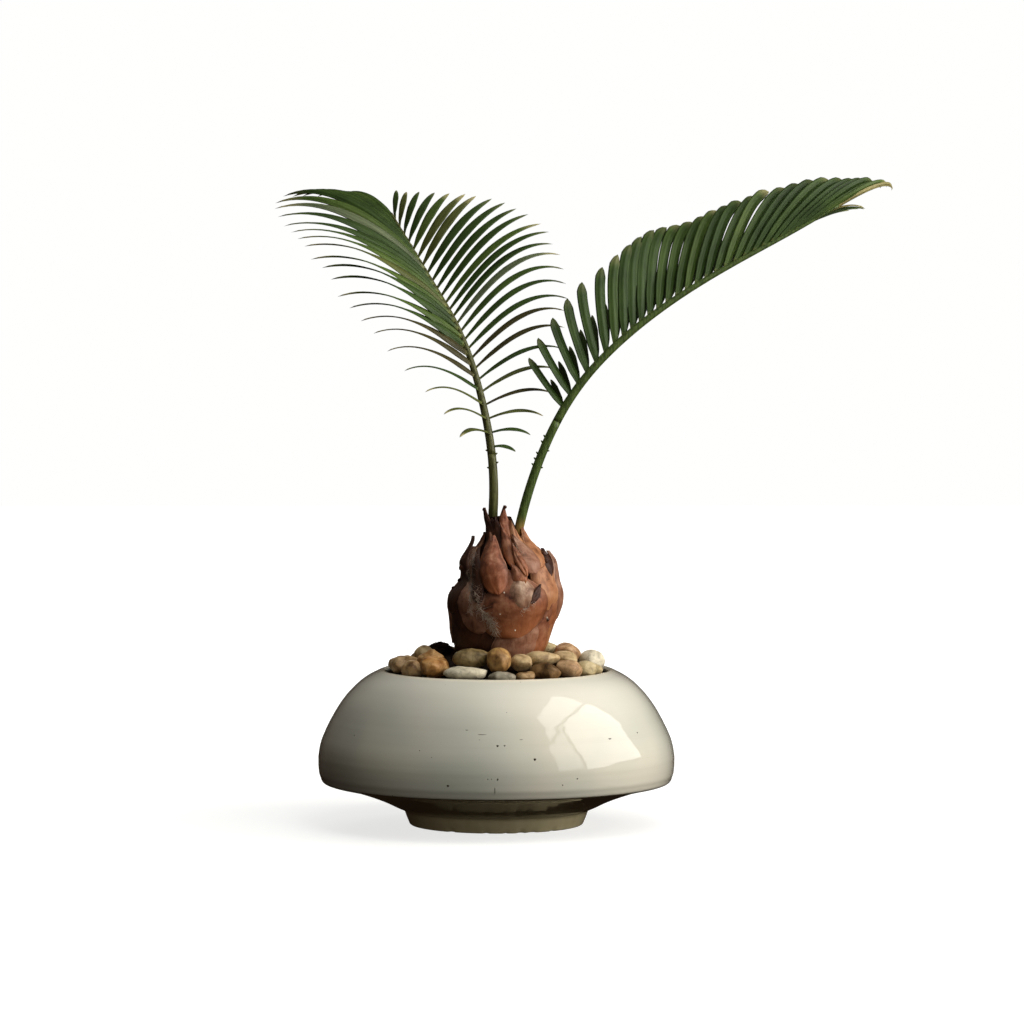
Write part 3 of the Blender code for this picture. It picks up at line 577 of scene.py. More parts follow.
def glazed_stoneware():
    """Wheel-thrown stoneware dipped in a glossy cream glaze.

    The glaze lies thick and pools grey-green in the throwing rings, breaks to cream where it
    runs thin over the edges, and lets fine iron specks of the clay through. The shoulder is
    painted paler as painted light from above, the pale edge of the mouth also paints its
    highlight, and the underside under the lip is painted dark as painted shade. The foot below
    the lip is only washed, so it is olive and less glossy.
    """
    material, tree, shader = new_material(
        "glazed_stoneware", GLAZE_ROUGHNESS, 1.52, coat_weight=1.0, coat_roughness=0.03)
    place = add(tree, "ShaderNodeTexCoord").outputs["Object"]
    height = add(tree, "ShaderNodeSeparateXYZ", inputs={0: place}).outputs["Z"]
    # Pools of glaze about 70 mm across
    pools = add(tree, "ShaderNodeTexNoise", inputs={
        "Vector": place, "Scale": per_metre(71.43), "Detail": 2.0, "Roughness": 0.5})
    glaze = add(tree, "ShaderNodeValToRGB", inputs={"Fac": pools.outputs["Fac"]}, stops=(
        (0.35, "#c4c7bb"), (0.50, "#d0d0c4"), (0.66, "#dcd8c9"))).outputs["Color"]
    # Throwing rings 1 to 3 mm apart that run level round the wall, each for about 110 mm
    flat = add(tree, "ShaderNodeMapping", inputs={
        "Vector": place, "Scale": (per_metre(111.1), per_metre(111.1), per_metre(2.381))})
    streaks = add(tree, "ShaderNodeTexNoise", inputs={
        "Vector": flat.outputs[0], "Scale": 1.0, "Detail": 4.0, "Roughness": 0.65})
    streak_share = add(tree, "ShaderNodeMapRange", inputs={
        "Value": streaks.outputs["Fac"], "From Min": 0.52, "From Max": 0.74, "To Max": 0.09})
    glaze = add(tree, "ShaderNodeMix", data_type="RGBA", inputs={
        MIX_SHARE: streak_share.outputs[0], MIX_FIRST: glaze, MIX_SECOND: colour("#a7a48f"),
    }).outputs[MIX_RESULT]
    # Painted light: the shoulder is painted paler toward the mouth, where more light falls from above
    painted_top_light = add(tree, "ShaderNodeMapRange", interpolation_type="SMOOTHSTEP", inputs={
        "Value": height, "From Min": 60 * MM, "From Max": 90 * MM, "To Max": 0.60})
    glaze = add(tree, "ShaderNodeMix", data_type="RGBA", inputs={
        MIX_SHARE: painted_top_light.outputs[0], MIX_FIRST: glaze, MIX_SECOND: colour("#f0ece0"),
    }).outputs[MIX_RESULT]
    # Iron specks in about a quarter of the cells of 7.7 mm. Real ones are 0.2 to 0.5 mm across,
    # and these are drawn 0.7 mm across so that they show.
    cells = add(tree, "ShaderNodeTexVoronoi", inputs={
        "Vector": place, "Scale": per_metre(7.692), "Randomness": 1.0})
    dot = add(tree, "ShaderNodeMath", operation="LESS_THAN", inputs={0: cells.outputs["Distance"], 1: 0.045})
    pick = add(tree, "ShaderNodeSeparateColor", inputs={0: cells.outputs["Color"]}).outputs[0]
    rare = add(tree, "ShaderNodeMath", operation="GREATER_THAN", inputs={0: pick, 1: 0.72})
    speck = add(tree, "ShaderNodeMath", operation="MULTIPLY", inputs={0: dot.outputs[0], 1: rare.outputs[0]})
    glaze = add(tree, "ShaderNodeMix", data_type="RGBA", inputs={
        MIX_SHARE: speck.outputs[0], MIX_FIRST: glaze, MIX_SECOND: colour("#4b3a26"),
    }).outputs[MIX_RESULT]
    # The washed foot, with drips 5 mm wide and 45 mm long that run down it
    upright = add(tree, "ShaderNodeMapping", inputs={
        "Vector": place, "Scale": (per_metre(5.263), per_metre(5.263), per_metre(45.45))})
    drips = add(tree, "ShaderNodeTexNoise", inputs={
        "Vector": upright.outputs[0], "Scale": 1.0, "Detail": 3.0})
    washed = add(tree, "ShaderNodeValToRGB", inputs={"Fac": drips.outputs["Fac"]}, stops=(
        (0.25, "#bfb490"), (0.52, "#c6bb97"), (0.80, "#cdc3a1"))).outputs["Color"]
    # Painted shade: the underside under the lip is painted dark, where the lip shades it
    under = add(tree, "ShaderNodeMapRange", inputs={
        "Value": height, "From Min": 8.6 * MM, "From Max": 11.0 * MM})
    washed = add(tree, "ShaderNodeMix", data_type="RGBA", inputs={
        MIX_SHARE: under.outputs[0], MIX_FIRST: washed, MIX_SECOND: colour("#6a6046"),
    }).outputs[MIX_RESULT]
    above_lip = add(tree, "ShaderNodeMapRange", interpolation_type="SMOOTHSTEP", inputs={
        "Value": height, "From Min": 26.7 * MM, "From Max": 27.4 * MM}).outputs[0]
    body = add(tree, "ShaderNodeMix", data_type="RGBA", inputs={
        MIX_SHARE: above_lip, MIX_FIRST: washed, MIX_SECOND: glaze,
    }).outputs[MIX_RESULT]
    # Glaze breaks pale over the edge of the mouth, and this pale band also paints the highlight along the
    # rim
    mouth_break_and_highlight = add(tree, "ShaderNodeMapRange", interpolation_type="SMOOTHSTEP", inputs={
        "Value": height, "From Min": 94.2 * MM, "From Max": 95.5 * MM}).outputs[0]
    body = add(tree, "ShaderNodeMix", data_type="RGBA", inputs={
        MIX_SHARE: mouth_break_and_highlight, MIX_FIRST: body, MIX_SECOND: colour("#f3ecd9"),
    }).outputs[MIX_RESULT]
    tree.links.new(body, shader.inputs["Base Color"])
    rough = add(tree, "ShaderNodeMapRange", inputs={
        "Value": above_lip, "To Min": WASH_ROUGHNESS, "To Max": GLAZE_ROUGHNESS})
    tree.links.new(rough.outputs[0], shader.inputs["Roughness"])
    relief = add(tree, "ShaderNodeBump", inputs={
        "Strength": 0.06, "Distance": 0.12 * MM, "Height": streaks.outputs["Fac"]})
    tree.links.new(relief.outputs[0], shader.inputs["Normal"])
    return material


def iron_mark():
    """Iron that has bled through the glaze: nearly black, with the glaze's gloss over grains of 0.4 mm."""
    material, tree, shader = new_material("iron_mark", 0.25, 1.52)
    place = add(tree, "ShaderNodeTexCoord").outputs["Object"]
    grain = add(tree, "ShaderNodeTexNoise", inputs={"Vector": place, "Scale": per_metre(0.4), "Detail": 1.0})
    tone = add(tree, "ShaderNodeValToRGB", inputs={"Fac": grain.outputs["Fac"]}, stops=(
        (0.35, "#1c140c"), (0.65, "#4a3a24")))
    tree.links.new(tone.outputs["Color"], shader.inputs["Base Color"])
    return material


def potting_soil():
    """Damp peat potting soil: nearly black brown and matt, with lighter fibres and fine crumbs."""
    material, tree, shader = new_material("potting_soil", 0.92, 1.45)
    place = add(tree, "ShaderNodeTexCoord").outputs["Object"]
    # Crumbs from 1.6 mm down to fine dust
    crumbs = add(tree, "ShaderNodeTexNoise", inputs={
        "Vector": place, "Scale": per_metre(1.613), "Detail": 5.0, "Roughness": 0.7})
    tone = add(tree, "ShaderNodeValToRGB", inputs={"Fac": crumbs.outputs["Fac"]}, stops=(
        (0.32, "#080504"), (0.55, "#1d130d"), (0.75, "#3a281b")))
    tree.links.new(tone.outputs["Color"], shader.inputs["Base Color"])
    relief = add(tree, "ShaderNodeBump", inputs={
        "Strength": 0.8, "Distance": 0.6 * MM, "Height": crumbs.outputs["Fac"]})
    tree.links.new(relief.outputs[0], shader.inputs["Normal"])
    return material


# Tones of each kind of pebble: dark vein, body, light patch
PEBBLE_TONES = {
    "tan": ("#5b3e23", "#a07f57", "#caaf86"),
    "ochre": ("#633919", "#9f703a", "#c59f6e"),
    "olive": ("#3c311c", "#75623e", "#97845c"),
    "brown": ("#493117", "#906b3e", "#ba935a"),
    "sand": ("#715a3b", "#ae946d", "#d1ba8e"),
    "umber": ("#332415", "#6c502e", "#94734d"),
    "rose": ("#6f4e33", "#b28d67", "#d5b68e"),
    "cream": ("#796747", "#b19f76", "#cebd97"),
    "pale": ("#968d78", "#cec5ad", "#ece4ce"),
    "grey": ("#403c33", "#817969", "#a79f8c"),
}


def river_pebble(kind):
    """A river pebble, tumbled smooth: a half-matt skin over mineral clouds and fine grain."""
    dark, body, light = PEBBLE_TONES[kind]
    material, tree, shader = new_material("river_pebble_" + kind, 0.48, 1.5)
    place = add(tree, "ShaderNodeTexCoord").outputs["Object"]
    # Mineral clouds 4 to 8 mm wide
    clouds = add(tree, "ShaderNodeTexNoise", inputs={
        "Vector": place, "Scale": per_metre(6.667), "Detail": 5.0, "Roughness": 0.6, "Distortion": 0.6})
    tone = add(tree, "ShaderNodeValToRGB", inputs={"Fac": clouds.outputs["Fac"]}, stops=(
        (0.30, dark), (0.46, body), (0.70, light))).outputs["Color"]
    # Rusty veins under 1 mm wide, about 12 mm apart
    bent = add(tree, "ShaderNodeTexNoise", inputs={
        "Vector": place, "Scale": per_metre(11.765), "Detail": 3.0})
    away = add(tree, "ShaderNodeMath", operation="SUBTRACT", inputs={0: bent.outputs["Fac"], 1: 0.5})
    vein = add(tree, "ShaderNodeMath", operation="ABSOLUTE", inputs={0: away.outputs[0]})
    vein_share = add(tree, "ShaderNodeMapRange", inputs={
        "Value": vein.outputs[0], "From Max": 0.012, "To Min": 0.55, "To Max": 0.0})
    tone = add(tree, "ShaderNodeMix", data_type="RGBA", inputs={
        MIX_SHARE: vein_share.outputs[0], MIX_FIRST: tone, MIX_SECOND: colour(dark),
    }).outputs[MIX_RESULT]
    # Grain of the stone, drawn at 0.7 mm so that it shows
    grain = add(tree, "ShaderNodeTexNoise", inputs={
        "Vector": place, "Scale": per_metre(0.6667), "Detail": 2.0})
    grain_share = add(tree, "ShaderNodeMapRange", inputs={
        "Value": grain.outputs["Fac"], "From Min": 0.55, "From Max": 0.75, "To Max": 0.35})
    tone = add(tree, "ShaderNodeMix", data_type="RGBA", inputs={
        MIX_SHARE: grain_share.outputs[0], MIX_FIRST: tone, MIX_SECOND: colour(dark),
    }).outputs[MIX_RESULT]
    tree.links.new(tone, shader.inputs["Base Color"])
    relief = add(tree, "ShaderNodeBump", inputs={
        "Strength": 0.35, "Distance": 0.2 * MM, "Height": grain.outputs["Fac"]})
    tree.links.new(relief.outputs[0], shader.inputs["Normal"])
    return material


# Tones of the trunk's scales: dark edge, which also paints the shade at the edges, body, light crown, lower
# lobe
SCALE_TONES = {
    "umber": ("#1a0d0a", "#3b2119", "#573729", "#45271a"),
    "russet": ("#3a1d14", "#835039", "#a87558", "#a8633a"),
    "rose": ("#45271c", "#8c614c", "#b38c76", "#976349"),
    "tan": ("#552f1b", "#a06a48", "#c2906a", "#a87048"),
    "grey_brown": ("#4a2f22", "#93705a", "#c2a58d", "#8a624a"),
    "chestnut": ("#31170f", "#8a5139", "#b98468", "#9a5630"),
    "woolly": ("#351f18", "#8e6350", "#c59881", "#6c4535"),
}


def scale_leaf(kind):
    """A fleshy scale leaf with a dry papery skin.

    The skin is leathery and mottled in soft clouds, warmer on the lower lobe, with painted shade
    darker towards the edges and a thin pale rim where the edge has dried. Fine fibres run from its
    root to its tip.
    """
    edge, body, crown, lobe = SCALE_TONES[kind]
    material, tree, shader = new_material(
        "scale_leaf_" + kind, 0.42, 1.45, coat_weight=0.08, coat_roughness=0.3)
    blade = add(tree, "ShaderNodeUVMap", uv_map="blade").outputs[0]
    length_share, width_share, _ = add(tree, "ShaderNodeSeparateXYZ", inputs={0: blade}).outputs
    place = add(tree, "ShaderNodeTexCoord").outputs["Object"]
    # Clouds 5 to 10 mm wide
    clouds = add(tree, "ShaderNodeTexNoise", inputs={
        "Vector": place, "Scale": per_metre(6.667), "Detail": 5.0, "Roughness": 0.62, "Distortion": 0.4})
    tone = add(tree, "ShaderNodeValToRGB", inputs={"Fac": clouds.outputs["Fac"]}, stops=(
        (0.30, edge), (0.47, body), (0.68, crown))).outputs["Color"]
    at_lobe = add(tree, "ShaderNodeMapRange", inputs={
        "Value": length_share, "From Min": 0.10, "From Max": 0.55, "To Min": 0.65, "To Max": 0.0})
    tone = add(tree, "ShaderNodeMix", data_type="RGBA", inputs={
        MIX_SHARE: at_lobe.outputs[0], MIX_FIRST: tone, MIX_SECOND: colour(lobe),
    }).outputs[MIX_RESULT]
    # Fibres 0.5 mm apart: 32 to the 16 mm from a scale's middle to its edge, 3.5 to its length
    fibre_place = add(tree, "ShaderNodeMapping", inputs={"Vector": blade, "Scale": (2.2, 20.0, 1.0)})
    shifted = add(tree, "ShaderNodeVectorMath", operation="ADD", inputs={
        0: fibre_place.outputs[0], 1: clouds.outputs["Color"]})
    fibres = add(tree, "ShaderNodeTexNoise", inputs={
        "Vector": shifted.outputs[0], "Scale": 1.6, "Detail": 5.0, "Roughness": 0.65})
    fibre_share = add(tree, "ShaderNodeMapRange", inputs={
        "Value": fibres.outputs["Fac"], "From Min": 0.45, "From Max": 0.75, "To Max": 0.35})
    tone = add(tree, "ShaderNodeMix", data_type="RGBA", inputs={
        MIX_SHARE: fibre_share.outputs[0], MIX_FIRST: tone, MIX_SECOND: colour(edge),
    }).outputs[MIX_RESULT]
    out = add(tree, "ShaderNodeMath", operation="ABSOLUTE", inputs={0: width_share})
    # Painted shade: the skin darkens towards the edges, where the scale curves over into shade
    edge_shade = add(tree, "ShaderNodeMapRange", inputs={
        "Value": out.outputs[0], "From Min": 0.72, "From Max": 0.96, "To Max": 0.5})
    tone = add(tree, "ShaderNodeMix", data_type="RGBA", inputs={
        MIX_SHARE: edge_shade.outputs[0], MIX_FIRST: tone, MIX_SECOND: colour(edge),
    }).outputs[MIX_RESULT]
    # The rim is pale only on the free upper part
    rim = add(tree, "ShaderNodeMapRange", inputs={
        "Value": out.outputs[0], "From Min": 0.95, "From Max": 0.985})
    free_share = add(tree, "ShaderNodeMapRange", inputs={
        "Value": length_share, "From Min": 0.3, "From Max": 0.5, "To Max": 0.75})
    pale_rim = add(tree, "ShaderNodeMath", operation="MULTIPLY", inputs={
        0: rim.outputs[0], 1: free_share.outputs[0]})
    tone = add(tree, "ShaderNodeMix", data_type="RGBA", inputs={
        MIX_SHARE: pale_rim.outputs[0], MIX_FIRST: tone, MIX_SECOND: colour(crown),
    }).outputs[MIX_RESULT]
    dry_tip = add(tree, "ShaderNodeMapRange", inputs={
        "Value": length_share, "From Min": 0.82, "From Max": 1.0, "To Max": 0.3})
    tone = add(tree, "ShaderNodeMix", data_type="RGBA", inputs={
        MIX_SHARE: dry_tip.outputs[0], MIX_FIRST: tone, MIX_SECOND: colour(edge),
    }).outputs[MIX_RESULT]
    tree.links.new(tone, shader.inputs["Base Color"])
    relief = add(tree, "ShaderNodeBump", inputs={
        "Strength": 0.35, "Distance": 0.4 * MM, "Height": fibres.outputs["Fac"]})
    tree.links.new(relief.outputs[0], shader.inputs["Normal"])
    return material


def stumps_and_gap_shade():
    """Old scale stumps packed under the live scales: dull, crumbly at 1.4 mm, nearly black brown, partly
    painted shade.
    """
    material, tree, shader = new_material("stumps_and_gap_shade", 0.95, 1.4)
    shader.inputs["Specular IOR Level"].default_value = 0.15
    place = add(tree, "ShaderNodeTexCoord").outputs["Object"]
    crumbs = add(tree, "ShaderNodeTexNoise", inputs={
        "Vector": place, "Scale": per_metre(1.4286), "Detail": 4.0})
    tone = add(tree, "ShaderNodeValToRGB", inputs={"Fac": crumbs.outputs["Fac"]}, stops=(
        (0.35, "#120906"), (0.7, "#2c1811")))
    tree.links.new(tone.outputs["Color"], shader.inputs["Base Color"])
    return material


def leaf_wool(name, hex_value):
    """Dry wool from the scales' edges: fine matt hairs, white to buff in tufts of about 1 mm."""
    material, tree, shader = new_material(name, 0.8, 1.5, sheen_weight=0.4)
    place = add(tree, "ShaderNodeTexCoord").outputs["Object"]
    tufts = add(tree, "ShaderNodeTexNoise", inputs={
        "Vector": place, "Scale": per_metre(1.1111), "Detail": 2.0})
    tone = add(tree, "ShaderNodeMix", data_type="RGBA", inputs={
        MIX_SHARE: tufts.outputs["Fac"], MIX_FIRST: colour(hex_value), MIX_SECOND: colour("#8a6a55"),
    }).outputs[MIX_RESULT]
    tree.links.new(tone, shader.inputs["Base Color"])
    return material


def leafstalk(name, greens, tan_foot_mm):
    """A green leafstalk with a waxy skin: fine lengthwise ribs, small brown flecks, tan at its foot."""
    lit, shade = greens
    foot_low, foot_high = tan_foot_mm
    material, tree, shader = new_material(name, 0.38, 1.45, coat_weight=0.15, coat_roughness=0.2)
    place = add(tree, "ShaderNodeTexCoord").outputs["Object"]
    height = add(tree, "ShaderNodeSeparateXYZ", inputs={0: place}).outputs["Z"]
    # Ribs are 0.3 mm apart in life and are drawn 1.1 mm apart and 17 mm long so that they show
    lengthwise = add(tree, "ShaderNodeMapping", inputs={
        "Vector": place, "Scale": (per_metre(1.1111), per_metre(1.1111), per_metre(16.667))})
    ribs = add(tree, "ShaderNodeTexNoise", inputs={
        "Vector": lengthwise.outputs[0], "Scale": 1.0, "Detail": 3.0})
    tone = add(tree, "ShaderNodeValToRGB", inputs={"Fac": ribs.outputs["Fac"]}, stops=(
        (0.35, shade), (0.62, lit))).outputs["Color"]
    # Flecks 2.4 mm apart
    flecks = add(tree, "ShaderNodeTexNoise", inputs={
        "Vector": place, "Scale": per_metre(2.381), "Detail": 2.0})
    fleck_share = add(tree, "ShaderNodeMapRange", inputs={
        "Value": flecks.outputs["Fac"], "From Min": 0.62, "From Max": 0.74, "To Max": 0.55})
    tone = add(tree, "ShaderNodeMix", data_type="RGBA", inputs={
        MIX_SHARE: fleck_share.outputs[0], MIX_FIRST: tone, MIX_SECOND: colour("#3a2d1a"),
    }).outputs[MIX_RESULT]
    at_foot = add(tree, "ShaderNodeMapRange", interpolation_type="SMOOTHSTEP", inputs={
        "Value": height, "From Min": foot_low * MM, "From Max": foot_high * MM,
        "To Min": 1.0, "To Max": 0.0})
    tone = add(tree, "ShaderNodeMix", data_type="RGBA", inputs={
        MIX_SHARE: at_foot.outputs[0], MIX_FIRST: tone, MIX_SECOND: colour("#b98d4e"),
    }).outputs[MIX_RESULT]
    tree.links.new(tone, shader.inputs["Base Color"])
    relief = add(tree, "ShaderNodeBump", inputs={
        "Strength": 0.4, "Distance": 0.2 * MM, "Height": ribs.outputs["Fac"]})
    tree.links.new(relief.outputs[0], shader.inputs["Normal"])
    return material


# Tones of the leaflets, dealt out one to a leaflet: shaded and lit green, and how bleached the tip is.
# The dark brown one is painted shade for the low leaflets.
LEAFLET_TONES = {
    "deep": ("#293a16", "#394f20", 0.15),
    "leaf": ("#2f4219", "#425724", 0.35),
    "fresh": ("#394d1d", "#4f6229", 0.7),
    "olive": ("#444a20", "#5a6030", 0.8),
    "shade_brown": ("#302d16", "#454020", 0.5),
    "silvery": ("#4a543a", "#687253", 0.9),
    "dry": ("#6f6940", "#9a9260", 0.8),
}


def leaflet_skin(kind):
    """A leathery cycad leaflet: waxy half-gloss green, veined lengthwise, pale where it joins the midrib."""
    shade, lit, bleached = LEAFLET_TONES[kind]
    material, tree, shader = new_material(
        "leaflet_" + kind, 0.50, 1.42, coat_weight=0.06, coat_roughness=0.3)
    blade = add(tree, "ShaderNodeUVMap", uv_map="blade").outputs[0]
    length_share, width_share, _ = add(tree, "ShaderNodeSeparateXYZ", inputs={0: blade}).outputs
    place = add(tree, "ShaderNodeTexCoord").outputs["Object"]
    # Veins are 0.3 mm apart in life and are drawn 1.65 mm wide so that they show, with three
    # streaks to a leaflet's length
    vein_place = add(tree, "ShaderNodeMapping", inputs={
        "Vector": blade, "Scale": (3.0, LEAFLET_WIDTH / 2 / (1.65 * MM), 1.0)})
    veins = add(tree, "ShaderNodeTexNoise", inputs={
        "Vector": vein_place.outputs[0], "Scale": 1.0, "Detail": 1.0})
    # Clouds of lighter green about 17 mm long
    clouds = add(tree, "ShaderNodeTexNoise", inputs={
        "Vector": place, "Scale": per_metre(16.667), "Detail": 3.0})
    light = add(tree, "ShaderNodeMath", operation="ADD", inputs={
        0: veins.outputs["Fac"], 1: clouds.outputs["Fac"]})
    tone = add(tree, "ShaderNodeMapRange", inputs={
        "Value": light.outputs[0], "From Min": 0.75, "From Max": 1.25}).outputs[0]
    green = add(tree, "ShaderNodeMix", data_type="RGBA", inputs={
        MIX_SHARE: tone, MIX_FIRST: colour(shade), MIX_SECOND: colour(lit),
    }).outputs[MIX_RESULT]
    # Painted shade: the rolled margins are painted darker, so that leaflets seen edge-on look shaded
    out = add(tree, "ShaderNodeMath", operation="ABSOLUTE", inputs={0: width_share})
    margin_shade = add(tree, "ShaderNodeMapRange", inputs={
        "Value": out.outputs[0], "From Min": 0.86, "From Max": 1.0, "To Max": 0.65})
    green = add(tree, "ShaderNodeMix", data_type="RGBA", inputs={
        MIX_SHARE: margin_shade.outputs[0], MIX_FIRST: green, MIX_SECOND: colour("#1b1e12"),
    }).outputs[MIX_RESULT]
    at_root = add(tree, "ShaderNodeMapRange", interpolation_type="SMOOTHSTEP", inputs={
        "Value": length_share, "From Min": 0.015, "From Max": 0.06, "To Min": 0.3, "To Max": 0.0})
    green = add(tree, "ShaderNodeMix", data_type="RGBA", inputs={
        MIX_SHARE: at_root.outputs[0], MIX_FIRST: green, MIX_SECOND: colour("#a8a868"),
    }).outputs[MIX_RESULT]
    at_tip = add(tree, "ShaderNodeMapRange", interpolation_type="SMOOTHSTEP", inputs={
        "Value": length_share, "From Min": 0.80, "From Max": 0.97, "To Max": bleached})
    green = add(tree, "ShaderNodeMix", data_type="RGBA", inputs={
        MIX_SHARE: at_tip.outputs[0], MIX_FIRST: green, MIX_SECOND: colour("#a89f74"),
    }).outputs[MIX_RESULT]
    tree.links.new(green, shader.inputs["Base Color"])
    relief = add(tree, "ShaderNodeBump", inputs={
        "Strength": 0.10, "Distance": 0.2 * MM, "Height": veins.outputs["Fac"]})
    tree.links.new(relief.outputs[0], shader.inputs["Normal"])
    return material


# Bowl

def smooth_stretch(points_mm, step_mm):
    """Points about a step apart on the smooth curve through the given ones."""
    places = np.array(points_mm, float)
    count = max(int(np.hypot(*np.diff(places, axis=0).T).sum() / step_mm), len(places))
    shares = np.linspace(0, 1, count)
    return [tuple(along(places[:, axis], s) for axis in (0, 1)) for s in shares]


def chip_depth(heading, height):
    """How far a chip has taken the foot's lower edge away, in metres."""
    depth = 0.0
    for at, width, deep in FOOT_CHIPS:
        off = (heading - at + 180) % 360 - 180
        across = math.radians(off) * FOOT_RADIUS_MM / width
        lower = max(1 - height / (CHIP_HEIGHT_MM * MM), 0.0)
        depth += deep * MM * max(1 - (2 * across) ** 2, 0.0) * lower
    return depth


def throwing_wave(heading, height_mm):
    """How far the waves of the potter's hand stand back at a heading and height, in metres."""
    fine = math.sin(math.tau * height_mm / FINE_WAVE_MM + WAVE_WANDER * math.sin(heading))
    broad = math.sin(math.tau * height_mm / BROAD_WAVE_MM + heading)
    return THROWING_WAVE * (1 + (fine + broad) / 2)


def make_bowl():
    """The bowl: wide belly, sharp lower lip over a sloping underside, low foot, thin rounded mouth."""
    profile = list(FOOT_MM) + list(FOOT_EDGE_MM)
    for stretch, step in BOWL_STRETCHES_MM:
        profile += smooth_stretch(stretch, step)
    points = [Vector((0, 0, profile[0][1] * MM))]
    for radius_mm, height_mm in profile[1:-1]:
        for k in range(BOWL_SIDES):
            heading = math.tau * k / BOWL_SIDES
            radius, height = radius_mm * MM, height_mm * MM
            if WAVY_FROM_MM < height_mm < WAVY_TO_MM and radius_mm > WAVY_RADIUS_MM:
                radius -= throwing_wave(heading, height_mm)
            if height_mm < CHIP_HEIGHT_MM and radius_mm > CHIPPED_FROM_MM:
                lost = chip_depth(360 * k / BOWL_SIDES, height)
                radius -= lost
                if height_mm < UNDERSIDE_TOP_MM:
                    height += CHIP_RISE * lost
            points.append(Vector((radius * math.cos(heading), radius * math.sin(heading), height)))
    points.append(Vector((0, 0, profile[-1][1] * MM)))
    rings = len(profile) - 2
    faces = [tuple(f) for f in ring_faces(rings, BOWL_SIDES, 1)]
    top = len(points) - 1
    last = 1 + (rings - 1) * BOWL_SIDES
    for k in range(BOWL_SIDES):
        faces.append((0, 1 + (k + 1) % BOWL_SIDES, 1 + k))
        faces.append((top, last + k, last + (k + 1) % BOWL_SIDES))
    bowl = new_piece("bowl", points, faces, [glazed_stoneware()])
    present(bowl, "bowl_glaze", "pot")


def bowl_radius(height):
    """Outer radius of the bowl's wall at a height, and how fast it changes with height."""
    heights = [p[1] * MM for p in BELLY_MM]
    radii = [p[0] * MM for p in BELLY_MM]
    step = 0.5 * MM
    radius, above, below = np.interp([height, height + step, height - step], heights, radii)
    return float(radius), float(above - below) / (2 * step)


def make_iron_marks():
    """Small irregular spots of iron, lying on the glaze where they show best."""
    points = []
    faces = []
    sides = IRON_MARK_SIDES
    for number, (across, height, wide, high) in enumerate(IRON_MARKS_MM):
        radius, slope = bowl_radius(height * MM)
        heading = -math.pi / 2 + math.asin(max(min(across * MM / radius, SIDE_LIMIT), -SIDE_LIMIT))
        outward = Vector((math.cos(heading), math.sin(heading), -slope)).normalized()
        level = Vector((-math.sin(heading), math.cos(heading), 0))
        upward = outward.cross(level)
        middle = Vector((radius * math.cos(heading), radius * math.sin(heading), height * MM))
        middle -= outward * IRON_MARK_SUNK
        dice = random.Random(number)
        first = len(points)
        for lift, size in IRON_MARK_RINGS:
            for k in range(sides):
                angle = math.tau * k / sides
                rough = 1 + IRON_MARK_ROUGHNESS * math.sin(3 * angle + dice.random())
                spot = level * math.cos(angle) * wide / 2 + upward * math.sin(angle) * high / 2
                points.append(middle + (spot * rough * size + outward * lift) * MM)
        faces += [tuple(f) for f in ring_faces(len(IRON_MARK_RINGS), sides, first)]
        top = first + (len(IRON_MARK_RINGS) - 1) * sides
        faces.append(tuple(range(top, top + sides)))
        faces.append(tuple(reversed(range(first, first + sides))))
    marks = new_piece("iron_marks", points, faces, [iron_mark()])
    present(marks, "bowl_glaze")


# Soil

def soil_height(x, y):
    """Height of the soil's surface, heap included, before its crumbs."""
    radius = math.hypot(x, y)
    share = max(radius - LEVEL_RADIUS, 0.0) / (SOIL_MOUTH_RADIUS - LEVEL_RADIUS)
    base = GROUND + (SOIL_MOUTH_HEIGHT - GROUND) * share
    away = math.hypot(x - HEAP_CENTRE.x, y - HEAP_CENTRE.y) / HEAP_RADIUS
    return base + (HEAP_HEIGHT * math.sqrt(1 - away ** 2) if away < 1 else 0.0)


def crumble(x, y):
    """Relief of the crumbs of soil, lumps 2 to 6 mm wide."""
    place = Vector((x, y, 0)) / MM
    coarse_width, coarse_depth = COARSE_LUMP_MM
    fine_width, fine_depth = FINE_LUMP_MM
    coarse = noise.noise(place / coarse_width)
    fine = noise.noise(place / fine_width + Vector((7, 3, 1)))
    return (coarse_depth * coarse + fine_depth * fine - LUMPS_BACK_MM) * MM


def make_soil(material):
    """The soil's surface with its crumbs, down to the bowl's inner wall."""
    points = [Vector((0, 0, GROUND - MM))]
    for r in range(1, SOIL_RINGS + 1):
        radius = SOIL_EDGE_MM * MM * r / SOIL_RINGS
        for k in range(SOIL_SIDES):
            heading = math.tau * k / SOIL_SIDES
            x, y = radius * math.cos(heading), radius * math.sin(heading)
            points.append(Vector((x, y, soil_height(x, y) + crumble(x, y))))
    for radius_mm, height_mm in SOIL_SIDE_MM:
        for k in range(SOIL_SIDES):
            heading = math.tau * k / SOIL_SIDES
            x, y = radius_mm * math.cos(heading), radius_mm * math.sin(heading)
            points.append(Vector((x, y, height_mm)) * MM)
    points.append(Vector((0, 0, SOIL_FLOOR_MM * MM)))
    rings = (len(points) - 2) // SOIL_SIDES
    faces = [tuple(reversed(f)) for f in ring_faces(rings, SOIL_SIDES, 1)]
    last = 1 + (rings - 1) * SOIL_SIDES
    for k in range(SOIL_SIDES):
        faces.append((0, 1 + k, 1 + (k + 1) % SOIL_SIDES))
        faces.append((len(points) - 1, last + (k + 1) % SOIL_SIDES, last + k))
    soil = new_piece("soil_bed", points, faces, [material])
    present(soil, "soil_dark", "soil")


